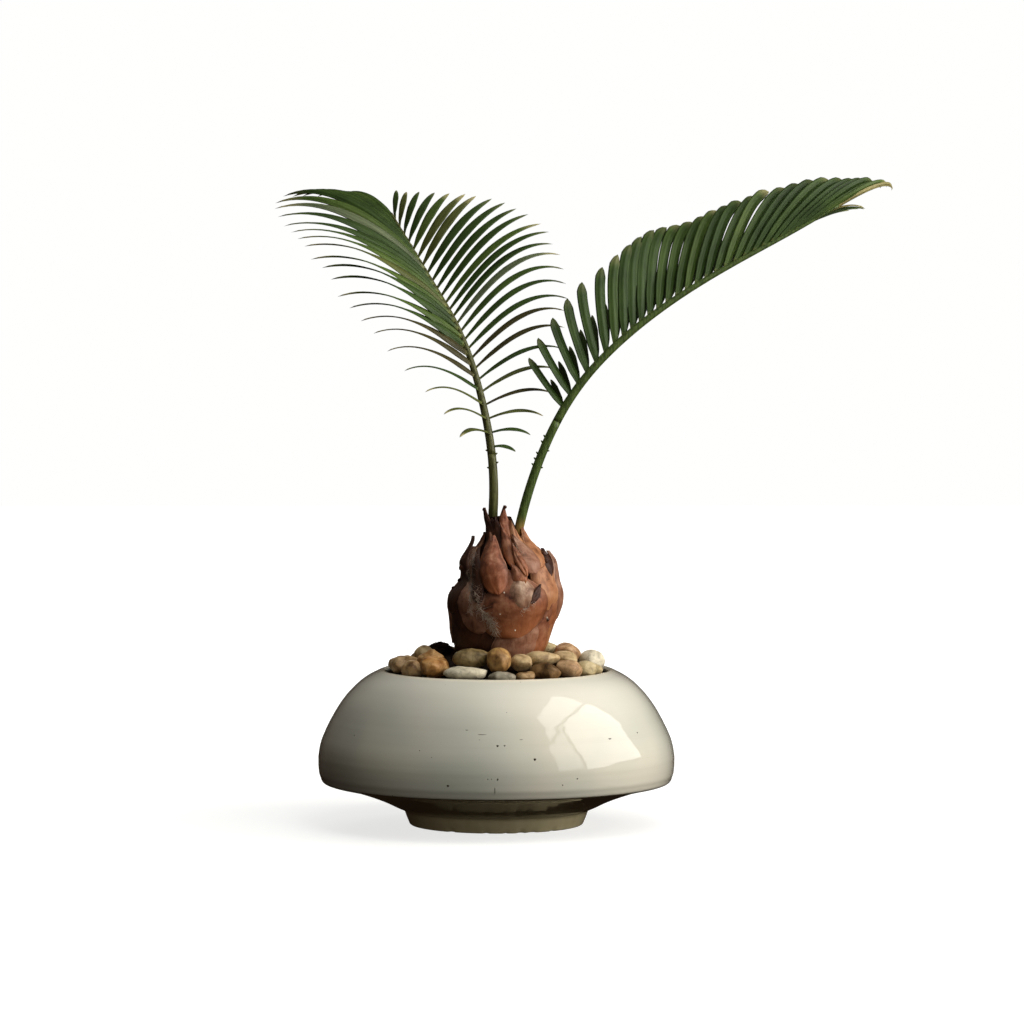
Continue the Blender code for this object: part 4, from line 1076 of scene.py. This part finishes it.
def make_crumbs(material):
    """Loose crumbs of soil, 0.8 to 2.6 mm across, thickest on the heap."""
    dice = random.Random(21)
    points = []
    faces = []
    corners, sides = soft_lump(1)
    for _ in range(CRUMB_COUNT):
        if dice.random() < CRUMBS_ON_HEAP:
            radius = HEAP_RADIUS * math.sqrt(dice.random())
            middle = HEAP_CENTRE
        else:
            radius = CRUMB_REACH * math.sqrt(dice.random())
            middle = Vector((0, 0, 0))
        heading = dice.uniform(0, math.tau)
        x, y = middle.x + radius * math.cos(heading), middle.y + radius * math.sin(heading)
        if math.hypot(x - TRUNK_SHIFT_MM[0] * MM, y) < CRUMB_FREE_RADIUS:
            continue
        size = dice.uniform(*CRUMB_HALF_MM) * MM
        stretch = Vector([dice.uniform(*reach) for reach in CRUMB_STRETCH])
        place = Vector((x, y, soil_height(x, y) + crumble(x, y)))
        first = len(points)
        for corner in corners:
            rough = 1 + dice.uniform(-CRUMB_ROUGHNESS, CRUMB_ROUGHNESS)
            points.append(place + Vector([c * s for c, s in zip(corner, stretch)]) * size * rough)
        faces += [tuple(first + i for i in side) for side in sides]
    crumbs = new_piece("soil_crumbs", points, faces, [material], smooth=False)
    present(crumbs, "soil_dark")


def soft_lump(level):
    """Points and triangles of a ball cut from an icosahedron."""
    work = bmesh.new()
    bmesh.ops.create_icosphere(work, subdivisions=level, radius=1.0)
    corners = [v.co.copy() for v in work.verts]
    sides = [tuple(v.index for v in f.verts) for f in work.faces]
    work.free()
    return corners, sides


# Pebbles

def make_pebbles():
    """Each pebble worn smooth over the shape and place of its own solid."""
    skins = {kind: river_pebble(kind) for kind in PEBBLE_TONES}
    for name, node in sorted(frame["nodes"].items()):
        if not name.startswith("pebble_"):
            continue
        kind = node_slot(name).removeprefix("pebble_")
        make_pebble(name, node, kind, skins[kind])


def node_slot(name):
    """The record's material slot of a node."""
    return next(row["material_slot"] for row in frame["record"]["subparts"] if row["node"] == name)


def dent_depth(spot_mm):
    """Depth of a pebble's dents at a spot, in millimetres."""
    depth = 0.0
    for width, deep in (BROAD_DENT_MM, SMALL_DENT_MM):
        depth += deep * abs(noise.noise(spot_mm / width))
    return depth


def make_pebble(name, node, kind, skin):
    """One pebble: its solid made round, worn flat in a few places and dented."""
    welded = bmesh.new()
    welded.from_mesh(node.data)
    bmesh.ops.remove_doubles(welded, verts=welded.verts, dist=WELD_REACH)
    rough = bpy.data.meshes.new("rough")
    welded.to_mesh(rough)
    welded.free()
    copy = bpy.data.objects.new("worn", rough)
    bpy.context.scene.collection.objects.link(copy)
    rounder = copy.modifiers.new("rounder", "SUBSURF")
    rounder.levels = ROUNDING_STEPS
    rounder.render_levels = ROUNDING_STEPS
    graph = bpy.context.evaluated_depsgraph_get()
    mesh = bpy.data.meshes.new_from_object(copy.evaluated_get(graph))
    bpy.data.objects.remove(copy)
    low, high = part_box(name)
    places = np.array([v.co for v in mesh.vertices])
    near, far = places.min(0), places.max(0)
    places = np.array(low) + (places - near) * (np.array(high) - np.array(low)) / (far - near)
    middle = places.mean(0)
    half = (np.array(high) - np.array(low)) / 2
    dice = random.Random(name)
    swollen = (places - middle) / half * PEBBLE_SWELL
    for _ in range(PEBBLE_FLATS):
        facing = np.array(Vector([dice.gauss(0, 1) for _ in range(3)]).normalized())
        beyond = swollen @ facing - dice.uniform(*FLAT_REACH)
        swollen -= np.outer(np.maximum(beyond, 0) * FLAT_WEAR, facing)
    places = middle + swollen * half
    knobbly = KNOBBLY_KINDS.get(kind, KNOBBLY_OTHERS)
    for i, place in enumerate(places):
        outward = np.array(Vector(place - middle).normalized())
        places[i] = place - outward * dent_depth(Vector(place) / MM) * knobbly * MM
    mesh.vertices.foreach_set("co", places.ravel())
    mesh.materials.clear()
    mesh.materials.append(skin)
    mesh.polygons.foreach_set("use_smooth", [True] * len(mesh.polygons))
    mesh.update()
    stone = bpy.data.objects.new(name.replace("pebble", "stone"), mesh)
    bpy.context.scene.collection.objects.link(stone)
    present(stone, "pebble_" + kind, name)


# Trunk

def trunk_share(height):
    """Share of the trunk's height."""
    return (height - TRUNK_FOOT) / (TRUNK_TOP - TRUNK_FOOT)


def trunk_radius(height):
    """Radius of the trunk under its scales."""
    return along(TRUNK_RADII_MM, trunk_share(height)) * MM


def trunk_middle(height):
    """The trunk's middle line."""
    return Vector((along(TRUNK_SHIFT_MM, trunk_share(height)) * MM, 0, height))


def trunk_heading(across, height):
    """Heading of the point of the front surface that stands at a place across and a height."""
    aside = (across - trunk_middle(height).x) / (trunk_radius(height) + FRONT_LIFT)
    return -math.pi / 2 + math.asin(min(max(aside, -SIDE_LIMIT), SIDE_LIMIT))


def on_trunk(heading, height, off):
    """The point at a heading and height that stands off the bulb's surface by a distance."""
    outward = Vector((math.cos(heading), math.sin(heading), 0))
    middle = trunk_middle(height)
    at_heading, at_height, reach, tall, depth = LEFT_HOLLOW
    round_it = (math.degrees(heading) % 360 - at_heading) / reach
    along_it = (height / MM - at_height) / tall
    hollow = depth * MM * math.exp(-round_it ** 2 - along_it ** 2)
    return Vector((middle.x, middle.y, height)) + outward * (trunk_radius(height) + off - hollow)


def scale_half_width(share, widest):
    """Half width of a scale as a share of its widest: round at the lower end, drawn to a point above."""
    if share < widest:
        return math.sqrt(1 - (1 - share / widest) ** 2)
    return 1 - ((share - widest) / (1 - widest)) ** SCALE_POINT


def scale_surface(scale, number, share, across):
    """Outer and inner point of a scale at a share of its length and a place from edge to edge."""
    (heading, low), (tip_heading, high), bow, width, lift, swell, stand_off, widest = scale
    height = low + (high - low) * share
    radius = trunk_radius(height) + lift
    turn = heading + (tip_heading - heading) * share + bow * math.sin(math.pi * share) / radius
    slant = Vector(((tip_heading - heading) * radius, high - low)).normalized()
    half = width / 2 * scale_half_width(share, widest)
    # Dry edges are ragged towards the tip
    ragged = noise.noise(Vector((share * 9, math.copysign(3.0, across), number))) * SCALE_RAGGED * share
    aside = across * half * (1 + ragged)
    turn += aside * slant.y / radius
    height -= aside * slant.x
    # Fibres are long and narrow, wrinkles broad, and each scale has its own
    fibres = noise.noise(Vector((share * 3.0, across * 7.0, number * 5.1)))
    wrinkles = noise.noise(Vector((share * 5.0, across * 2.2, number * 2.3 + 40)))
    # The swelling is fullest below the middle, and the last of the width rolls in to the edge
    round_edge = 1 - abs(across) ** 5
    belly = math.sin(math.pi * min(share * 0.75 + 0.12, 1.0))
    off = lift + swell * (1 - abs(across) ** 2.2) * belly + stand_off * share ** 3
    off += (SCALE_FIBRES * fibres + SCALE_WRINKLES * wrinkles) * round_edge
    off -= SCALE_EDGE_FALL * (1 - round_edge)
    free = min(max((share - FREE_FROM) / FREE_OVER, 0.0), 1.0)
    inner = free * (off - SCALE_THICKNESS + SCALE_THINNING * share) - (1 - free) * SCALE_SUNK
    inner = min(inner, off - SCALE_LEAST)
    return on_trunk(turn, height, off), on_trunk(turn, height, inner)


def add_scale(store, scale, tone):
    """Adds one scale to the store: outer skin, inner skin and the edge between them."""
    number = store["count"]
    store["count"] += 1
    first = len(store["points"])
    rows = SCALE_LENGTH_STEPS + 1
    columns = SCALE_WIDTH_STEPS + 1
    outer, inner, places = [], [], []
    for i in range(rows):
        share = FIRST_ROW + (LAST_ROW - FIRST_ROW) * (1 - math.cos(math.pi * i / SCALE_LENGTH_STEPS)) / 2
        for k in range(columns):
            across = -math.cos(math.pi * k / SCALE_WIDTH_STEPS)
            above, below = scale_surface(scale, number, share, across)
            outer.append(above)
            inner.append(below)
            places.append((share, across))
    store["points"] += outer + inner
    store["uvs"] += places + places
    size = rows * columns
    faces = []
    for i in range(rows - 1):
        for k in range(columns - 1):
            a = first + i * columns + k
            quad = (a, a + 1, a + columns + 1, a + columns)
            faces.append(quad)
            faces.append(tuple(v + size for v in reversed(quad)))
    rim = [i * columns for i in range(rows)]
    rim += [size - columns + k for k in range(1, columns)]
    rim += [size - 1 - i * columns for i in range(1, rows)]
    rim += [columns - 1 - k for k in range(1, columns - 1)]
    for a, b in zip(rim, rim[1:] + rim[:1]):
        faces.append((first + a, first + b, first + b + size, first + a + size))
    store["faces"] += faces
    store["kinds"] += [tone] * len(faces)


def make_trunk():
    """The bulb: its dark core, the front scales, the tiers behind, wool and grit."""
    tones = list(SCALE_TONES)
    store = {"points": [], "faces": [], "uvs": [], "kinds": [], "count": 0}
    dice = random.Random(17)
    first, last = BACK_HEADINGS
    for tier, (count, low, length, width, lift, swell, stand_off) in enumerate(BACK_TIERS):
        for i in range(count):
            set_off = BACK_SET_OFF if tier % 2 else 0.0
            share = (i + set_off) / (count - 1 + BACK_SET_OFF)
            heading = math.radians(first + (last - first) * share)
            heading += dice.uniform(-HEADING_CHANCE, HEADING_CHANCE)
            low_end = (heading, (low + dice.uniform(-LOW_END_CHANCE, LOW_END_CHANCE)) * MM)
            tip_heading = heading + dice.uniform(-TIP_CHANCE, TIP_CHANCE)
            high_end = (tip_heading, low_end[1] + length * dice.uniform(*LENGTH_CHANCE) * MM)
            sizes = [size * MM for size in (0.0, width, lift, swell, stand_off)]
            tone = tones.index(dice.choice(BACK_TONES))
            add_scale(store, (low_end, high_end, *sizes, WIDEST_SHARE), tone)
    for tip_x, tip_z, low_x, low_z, bow, width, lift, swell, stand_off, widest, tone in FRONT_SCALES:
        low_end = (trunk_heading(low_x * MM, low_z * MM), low_z * MM)
        high_end = (trunk_heading(tip_x * MM, min(tip_z, NECK_TOP_MM) * MM), tip_z * MM)
        sizes = [size * MM for size in (bow, width, lift, swell, stand_off)]
        add_scale(store, (low_end, high_end, *sizes, widest), tones.index(tone))
    skins = [scale_leaf(kind) for kind in tones]
    scales = new_piece("trunk_scales", store["points"], store["faces"], skins,
                       face_kinds=store["kinds"], uvs=store["uvs"])
    present(scales, "trunk_scale", "caudex")
    make_trunk_core(stumps_and_gap_shade())
    front = BVHTree.FromPolygons(store["points"], store["faces"])
    make_lumps("scale_knobs", front, KNOBS_MM, skins[tones.index("umber")], KNOB_SUNK)
    make_lumps("trunk_grit", front, GRIT_MM, leaf_wool("pale_grit", "#f2ead8"), GRIT_SUNK)
    make_wool(front)


def front_point(front, across, height):
    """The point and the outward normal of the trunk's front at a place across and a height.

    A place past the outline is moved in, step by step, until it meets the trunk.
    """
    middle = trunk_middle(height)
    for step in range(INWARD_STEPS):
        inner = middle.x + (across - middle.x) * (1 - step / INWARD_STEPS)
        place, normal, _, _ = front.ray_cast(Vector((inner, IN_FRONT, height)), Vector((0, 1, 0)))
        if place is not None:
            return place, normal if normal.y < 0 else -normal
    return Vector((across, middle.y, height)), Vector((0, -1, 0))


def make_lumps(name, front, lumps_mm, skin, sunk):
    """Small rough lumps that sit on the front of the trunk."""
    corners, sides = soft_lump(2)
    points = []
    faces = []
    for number, (across, height, width) in enumerate(lumps_mm):
        place, normal = front_point(front, across * MM, height * MM)
        first = len(points)
        for corner in corners:
            hollow = noise.noise(corner * LUMP_HOLLOWS + Vector((number * 7, 0, 0)))
            rough = 1 + LUMP_ROUGHNESS * hollow
            points.append(place + (corner * rough * width / 2 - normal * width * (sunk - 0.5)) * MM)
        faces += [tuple(first + i for i in side) for side in sides]
    lumps = new_piece(name, points, faces, [skin], uvs=[LUMP_TONE_PLACE] * len(points))
    present(lumps, "trunk_scale", "caudex")


def make_wool(front):
    """Hairs of wool along the edges of the scales, drawn 0.18 mm wide so that they show."""
    points = []
    faces = []
    dice = random.Random(31)
    steps = HAIR_STEPS
    least_lift, more_lift = HAIR_LIFT_MM
    for first_x, first_z, last_x, last_z, length, count, lie in WOOL_TUFTS:
        for _ in range(count):
            share = dice.random()
            across = first_x + (last_x - first_x) * share + dice.gauss(0, ROOT_SPREAD_MM[0])
            height = first_z + (last_z - first_z) * share + dice.gauss(0, ROOT_SPREAD_MM[1])
            angle = math.radians(lie + dice.gauss(0, LIE_SPREAD))
            bend = dice.gauss(0, BEND_SPREAD)
            step = length * dice.uniform(*HAIR_LENGTHS) / steps
            first = len(points)
            for k in range(steps + 1):
                place, normal = front_point(front, across * MM, height * MM)
                heading = Vector((math.cos(angle), 0, math.sin(angle)))
                aside = heading.cross(normal).normalized()
                lift = (least_lift + more_lift * math.sin(math.pi * k / steps)) * MM
                half = HAIR_HALF_WIDTH * (1 - HAIR_TAPER * k / steps)
                for side in (-1, 0, 1):
                    ridge = half if side == 0 else 0.0
                    points.append(place + normal * (lift + ridge) + aside * side * half)
                across += math.cos(angle) * step
                height += math.sin(angle) * step
                angle += bend
            faces += ring_faces(steps + 1, 3, first).tolist()
            faces.append((first, first + 1, first + 2))
            faces.append((first + 3 * steps + 2, first + 3 * steps + 1, first + 3 * steps))
    wool = new_piece("scale_wool", points, faces, [leaf_wool("scale_wool", "#dccbb8")])
    present(wool, "trunk_scale", "caudex")


def make_trunk_core(skin):
    """The bulb's own body, which shows dark between the scales as painted shade, flat at the ground."""
    rings = []
    for i in range(CORE_STEPS + 1):
        share = i / CORE_STEPS
        height = TRUNK_FOOT + (TRUNK_TOP - TRUNK_FOOT) * share
        ring = []
        for k in range(CORE_SIDES):
            heading = math.tau * k / CORE_SIDES
            rough = noise.noise(Vector((heading * CORE_HOLLOWS, height / MM / CORE_HOLLOW_MM, 2)))
            ring.append(on_trunk(heading, height, (CORE_RELIEF_MM * rough - CORE_BACK_MM) * MM))
        rings.append(ring)
    points, faces = tube_mesh(rings)
    faces = [tuple(reversed(f)) for f in faces]
    core = new_piece("trunk_core", points, faces, [skin])
    present(core, "trunk_scale", "caudex")


# Fronds

def midrib(frond):
    """Points and frames (along, side, face) of a frond's midrib, from its root to its tip."""
    place = Vector(frond["root_mm"]) * MM
    heading = math.radians(frond["heading"])
    out = Vector((math.cos(heading), math.sin(heading), 0))
    side = Vector((-math.sin(heading), math.cos(heading), 0))
    step = frond["length_mm"] * MM / RIB_STEPS
    line = []
    for i in range(RIB_STEPS + 1):
        share = i / RIB_STEPS
        lean = math.radians(along(frond["leans"], share))
        roll = math.radians(along(frond["rolls"], share))
        forward = out * math.sin(lean) + UP * math.cos(lean)
        face = UP * math.sin(lean) - out * math.cos(lean)
        rolled_side = side * math.cos(roll) + face * math.sin(roll)
        rolled_face = face * math.cos(roll) - side * math.sin(roll)
        line.append((place.copy(), (forward, rolled_side, rolled_face)))
        place = place + forward * step
    return line


def rib_radius(frond, share):
    """Radius of the midrib at a share of its length."""
    return along(frond["radii_mm"], share) * MM


def leaflet_spine(frond, line, row, order, steps):
    """Points, directions and blade axes of one leaflet, from the midrib out to its tip."""
    laws = frond["rows"][row]
    place_share = order / (laws["count"] - 1)
    share = along(laws["places"], place_share)
    position = share * (len(line) - 1)
    i = min(int(position), len(line) - 2)
    root = line[i][0].lerp(line[i + 1][0], position - i)
    forward, side, face = line[i][1]
    dice = random.Random(1000 * frond["seed"] + 2 * order + (row > 0))
    spread = math.radians(along(laws["spreads"], place_share) + dice.uniform(-1, 1) * LEAFLET_JITTER)
    rise = math.radians(along(laws["rises"], place_share) + dice.uniform(-1, 1) * LEAFLET_JITTER)
    droop = math.radians(along(laws["droops"], place_share))
    tilt = math.radians(along(laws["tilts"], place_share))
    twist = math.radians(along(laws["twists"], place_share))
    length = along(laws["lengths_mm"], place_share) * MM
    outward = side * row * math.cos(rise) + face * math.sin(rise)
    direction = forward * math.cos(spread) + outward * math.sin(spread)
    flat = forward * math.sin(spread) - outward * math.cos(spread)
    upright = flat.cross(direction) * row
    fall = Vector(laws["fall"])
    fall = (fall - direction * direction.dot(fall)).normalized()
    hinge = direction.cross(fall)
    spine = []
    place = root
    for k in range(steps + 1):
        turn = Matrix.Rotation(droop * (k / steps) ** laws["bend"], 3, hinge)
        angle = tilt + twist * k / steps
        across = flat * math.cos(angle) + upright * math.sin(angle)
        spine.append((place, turn @ direction, turn @ across))
        next_turn = Matrix.Rotation(droop * ((k + 0.5) / steps) ** laws["bend"], 3, hinge)
        place = place + next_turn @ direction * (length / steps)
    return spine


# Cross-section of a leaflet: place across its half width and height in millimetres, round the
# blade. The margins roll down, a groove runs along the top and the midvein stands out below.
LEAFLET_SECTION = (
    (-1, -0.15), (-0.72, 0.15), (-0.3, 0.21), (0, 0), (0.3, 0.21), (0.72, 0.15),
    (1, -0.15), (0.7, -0.24), (0.22, -0.3), (0, -0.93), (-0.22, -0.3), (-0.7, -0.24),
)


def leaflet_half_width(share, taper_from):
    """Half width of a leaflet: narrow at its root, parallel-sided, then drawn to a point."""
    grown = min(ROOT_WIDTH + WIDENING * share, 1.0)
    drawn = min((1 - share) / (1 - taper_from), 1.0) ** POINT_BLUNTNESS
    return 0.5 * LEAFLET_WIDTH * grown * drawn


def slimness(frond, order, count):
    """How much of its full width a leaflet has: the last of each row are slimmer toward the frond's end."""
    past = max(order / (count - 1) - frond["slim_from"], 0.0) / (1 - frond["slim_from"])
    return 1 - (1 - frond["last_width"]) * past


def leaflet_tone(frond, row, order, count):
    """The place of a leaflet's tone in LEAFLET_TONES: the low ones have darker tones as painted shade, the
    last ones their own.
    """
    tones = frond["tones"]
    if order < LOW_SHARE * count:
        tones = frond["low_tones"]
    if order >= count - frond["dry_ends"]:
        tones = ("dry",)
    tone = random.Random(77 * frond["seed"] + 3 * order + row).choice(tones)
    return list(LEAFLET_TONES).index(tone)


def add_leaflet(store, frond, line, row, order):
    """Adds one leaflet's points, faces, blade places and tone to the store."""
    spine = leaflet_spine(frond, line, row, order, LEAFLET_STEPS)
    size = len(LEAFLET_SECTION)
    first = len(store["points"])
    count = frond["rows"][row]["count"]
    slim = slimness(frond, order, count)
    for k, (place, heading, across) in enumerate(spine[:-1]):
        share = k / LEAFLET_STEPS
        half = leaflet_half_width(share, frond["rows"][row]["taper_from"]) * slim
        above = heading.cross(across)
        thickness = MM * (1 - TIP_THINNING * share)
        for part, height in LEAFLET_SECTION:
            point = place + across * part * half + above * height * thickness
            point.z = min(point.z, HIGHEST_LEAFLET)
            store["points"].append(point)
            store["uvs"].append((share, part))
    faces = ring_faces(LEAFLET_STEPS, size, first).tolist()
    tip = len(store["points"])
    store["points"].append(spine[-1][0])
    store["uvs"].append((1.0, 0.0))
    last = first + (LEAFLET_STEPS - 1) * size
    for k in range(size):
        faces.append((last + k, last + (k + 1) % size, tip))
    faces.append(tuple(reversed(range(first, first + size))))
    store["faces"] += faces
    store["kinds"] += [leaflet_tone(frond, row, order, count)] * len(faces)


def rib_tube(frond, line, first, last, sunk=0.0):
    """Rings of the midrib or stalk between two steps: a little flat above, with a groove each side."""
    steps = len(line) - 1
    rings = []
    for i in range(first, last + 1):
        place, (_, side, face) = line[i]
        radius = rib_radius(frond, i / steps)
        ring = []
        for k in range(RIB_SIDES):
            angle = math.tau * k / RIB_SIDES
            flat = RIB_FLAT * max(math.sin(angle), 0.0) ** 3
            groove = RIB_GROOVE * math.exp(-((math.sin(angle) - GROOVE_PLACE) * GROOVE_NARROWNESS) ** 2)
            outward = side * math.cos(angle) + face * math.sin(angle)
            ring.append(place + outward * radius * (1 - flat - groove))
        rings.append(ring)
    if sunk:
        forward = line[first][1][0]
        rings.insert(0, [p - forward * sunk for p in rings[0]])
    return rings


def tube_mesh(rings):
    """Points and faces of a closed tube."""
    points = [p for ring in rings for p in ring]
    size = len(rings[0])
    faces = ring_faces(len(rings), size).tolist()
    faces.append(tuple(reversed(range(size))))
    faces.append(tuple(range(len(points) - size, len(points))))
    return points, faces


def add_spine(points, faces, frond, line, height, side):
    """Adds one short blunt spine at a height on the left or the right of the stalk."""
    i = min(range(len(line)), key=lambda k: abs(line[k][0].z - height))
    forward = line[i][1][0]
    radius = rib_radius(frond, i / (len(line) - 1))
    out = Vector((side, SPINE_TURN, 0.0))
    out = (out - forward * out.dot(forward)).normalized()
    level = out.cross(forward)
    root = line[i][0] + out * (radius - SPINE_SUNK)
    first = len(points)
    sides = SPINE_SIDES
    for reach, size in SPINE_RINGS_MM:
        for k in range(sides):
            angle = math.tau * k / sides
            ring = level * math.cos(angle) + forward * math.sin(angle)
            points.append(root + (out * reach + ring * size + forward * SPINE_LEAN * reach) * MM)
    faces += ring_faces(len(SPINE_RINGS_MM), sides, first).tolist()
    faces.append(tuple(range(len(points) - sides, len(points))))
    faces.append(tuple(reversed(range(first, first + sides))))


def make_frond(frond, leaflet_skins):
    """A frond: its stalk with its spines, its midrib and its two rows of leaflets."""
    line = midrib(frond)
    name = frond["name"]
    stalk_skin = leafstalk("leafstalk_" + name, frond["greens"], frond["tan_foot_mm"])
    rib_skin = leafstalk("midrib_" + name, frond["greens"], NO_TAN_FOOT_MM)
    split = int(frond["bare_share"] * RIB_STEPS)
    points, faces = tube_mesh(rib_tube(frond, line, 0, split, frond["sunk_mm"] * MM))
    for height, side in frond["spines"]:
        add_spine(points, faces, frond, line, height * MM, side)
    stalk = new_piece(name + "_leafstalk", points, faces, [stalk_skin])
    present(stalk, "frond_stalk", name + "_stalk")
    points, faces = tube_mesh(rib_tube(frond, line, split, RIB_STEPS))
    rib = new_piece(name + "_midrib", points, faces, [rib_skin])
    present(rib, "frond_blade", name + "_blade")
    store = {"points": [], "faces": [], "uvs": [], "kinds": []}
    for row in frond["rows"]:
        for order in range(frond["rows"][row]["count"]):
            add_leaflet(store, frond, line, row, order)
    leaflets = new_piece(name + "_leaflets", store["points"], store["faces"], leaflet_skins,
                         face_kinds=store["kinds"], uvs=store["uvs"])
    present(leaflets, "frond_blade", name + "_blade")


# Studio

# Tint of the window's panes, and the white of the paper
DAYLIGHT = (1.0, 0.98, 0.94)
PAPER_WHITE = "#fffffe"
# Window to the right of the palm, seen in the glaze: on the plane WINDOW_X, the low and the high
# corner of each pane along +Y and +Z, and its brightness
WINDOW_X = 1.25
WINDOW_PANES = (
    ((-0.76, 0.22), (0.34, 1.60), 2.05),
    ((-1.52, 0.30), (-0.83, 1.60), 1.2),
    ((-1.35, 1.72), (0.34, 3.00), 1.6),
)
# Soft panels of light: name, place, point that it faces, width and height, brightness and tint
SOFT_LIGHTS = (
    ("window_wash", (2.0, -0.2, 0.9), (0, 0, 0.15), (1.2, 1.4), 6.0, (1.0, 0.93, 0.84)),
    ("front_fill", (0.9, -1.9, 1.9), (0, 0, 0.15), (1.2, 1.2), 2.0, (0.95, 0.98, 0.94)),
    ("overhead", (0.6, -0.7, 2.4), (0, 0, 0.15), (1.3, 1.0), 4.2, (0.97, 0.99, 0.94)),
    ("back_fill", (-0.3, 2.3, 1.2), (0, 0, 0.2), (1.8, 1.2), 4.6, (0.97, 0.98, 1.0)),
    ("rear_strip", (-1.3, 1.0, 0.25), (0, 0, 0.08), (0.5, 0.9), 0.7, (1.0, 0.96, 0.88)),
    ("low_fill", (0.7, -1.8, 0.08), (0, 0, 0.02), (1.4, 0.14), 8.0, (1.0, 0.97, 0.88)),
)
# Half the floor's width, where its glow starts to rise and where it is full, and how much it
# glows before that, then how far the camera sees
FLOOR_HALF = 3.0
GLOW_FROM = 0.1
GLOW_FULL = 0.5
LEAST_GLOW = 0.74
CAMERA_SIGHT = 50.0


def panel_light(name, width, height, brightness, tint):
    """A rectangular panel of light, with its brightness over its area."""
    light = bpy.data.lights.new(name, "AREA")
    light.shape = "RECTANGLE"
    light.size = width
    light.size_y = height
    light.color = tint
    light.energy = brightness * math.pi * width * height
    panel = bpy.data.objects.new(name, light)
    panel.visible_camera = False
    bpy.context.scene.collection.objects.link(panel)
    return panel


def make_window():
    """Panes of daylight, with dark bars between them."""
    for number, ((y0, z0), (y1, z1), brightness) in enumerate(WINDOW_PANES):
        pane = panel_light(f"pane_{number}", z1 - z0, y1 - y0, brightness, DAYLIGHT)
        pane.location = (WINDOW_X, (y0 + y1) / 2, (z0 + z1) / 2)
        pane.rotation_euler = (0, math.radians(90), 0)


def make_soft_lights():
    """Soft panels of light that don't show in the glaze."""
    for name, place, aim, (width, height), brightness, tint in SOFT_LIGHTS:
        panel = panel_light(name, width, height, brightness, tint)
        panel.location = place
        panel.rotation_mode = "QUATERNION"
        panel.rotation_quaternion = (Vector(aim) - Vector(place)).to_track_quat("-Z", "Y")
        panel.visible_glossy = False


def white_paper():
    """Matt white paper that glows a little, less under the bowl, so that only its shadow shows."""
    material, tree, shader = new_material("floor_white", 0.9)
    shader.inputs["Base Color"].default_value = colour("#a0a09e")
    shader.inputs["Emission Color"].default_value = colour(PAPER_WHITE)
    place = add(tree, "ShaderNodeTexCoord").outputs["Object"]
    far = add(tree, "ShaderNodeVectorMath", operation="LENGTH", inputs={0: place})
    glow = add(tree, "ShaderNodeMapRange", inputs={
        "Value": far.outputs["Value"], "From Min": GLOW_FROM, "From Max": GLOW_FULL,
        "To Min": LEAST_GLOW, "To Max": 1.0})
    tree.links.new(glow.outputs[0], shader.inputs["Emission Strength"])
    return material


def make_floor():
    """The sheet of paper that the bowl stands on."""
    half = FLOOR_HALF
    corners = [(-half, -half, 0), (half, -half, 0), (half, half, 0), (-half, half, 0)]
    floor = new_piece("studio_floor", corners, [(0, 1, 2, 3)], [white_paper()], smooth=False)
    floor.visible_diffuse = False
    floor.visible_glossy = False


def make_room():
    """A dim warm room, dark below and paler above, that the camera sees as white paper."""
    world = bpy.data.worlds.new("studio_room")
    bpy.context.scene.world = world
    world.use_nodes = True
    tree = world.node_tree
    place = add(tree, "ShaderNodeTexCoord").outputs["Generated"]
    up = add(tree, "ShaderNodeSeparateXYZ", inputs={0: place}).outputs["Z"]
    share = add(tree, "ShaderNodeMapRange", inputs={"Value": up, "From Min": -1.0, "From Max": 1.0})
    room = add(tree, "ShaderNodeValToRGB", inputs={"Fac": share.outputs[0]}, stops=(
        (0.40, "#1a120b"), (0.55, "#3a3128"), (1.0, "#5d5a55"))).outputs["Color"]
    seen = add(tree, "ShaderNodeLightPath").outputs["Is Camera Ray"]
    shown = add(tree, "ShaderNodeMix", data_type="RGBA", inputs={
        MIX_SHARE: seen, MIX_FIRST: room, MIX_SECOND: colour(PAPER_WHITE),
    }).outputs[MIX_RESULT]
    tree.links.new(shown, tree.nodes["Background"].inputs["Color"])


def make_camera():
    """The camera, at the photograph's place and angle."""
    camera = bpy.data.cameras.new("camera")
    camera.sensor_width = SENSOR_MM
    camera.lens = FOCAL_PIXELS * SENSOR_MM / PICTURE_PIXELS
    camera.clip_end = CAMERA_SIGHT
    eye = bpy.data.objects.new("camera", camera)
    eye.location = CAMERA_PLACE
    eye.rotation_euler = (math.pi / 2 - CAMERA_PITCH, 0, -CAMERA_TURN)
    bpy.context.scene.collection.objects.link(eye)
    bpy.context.scene.camera = eye


def make_studio():
    """The lights, the paper floor, the room round it and the camera."""
    make_window()
    make_soft_lights()
    make_floor()
    make_room()
    make_camera()
    bpy.context.scene.view_settings.view_transform = "Standard"


def main():
    """Makes the studio first and then the plant, from the bowl up."""
    make_studio()
    make_bowl()
    make_iron_marks()
    soil_skin = potting_soil()
    make_soil(soil_skin)
    make_crumbs(soil_skin)
    make_pebbles()
    make_trunk()
    leaflet_skins = [leaflet_skin(kind) for kind in LEAFLET_TONES]
    make_frond(LEFT_FROND, leaflet_skins)
    make_frond(RIGHT_FROND, leaflet_skins)


main()
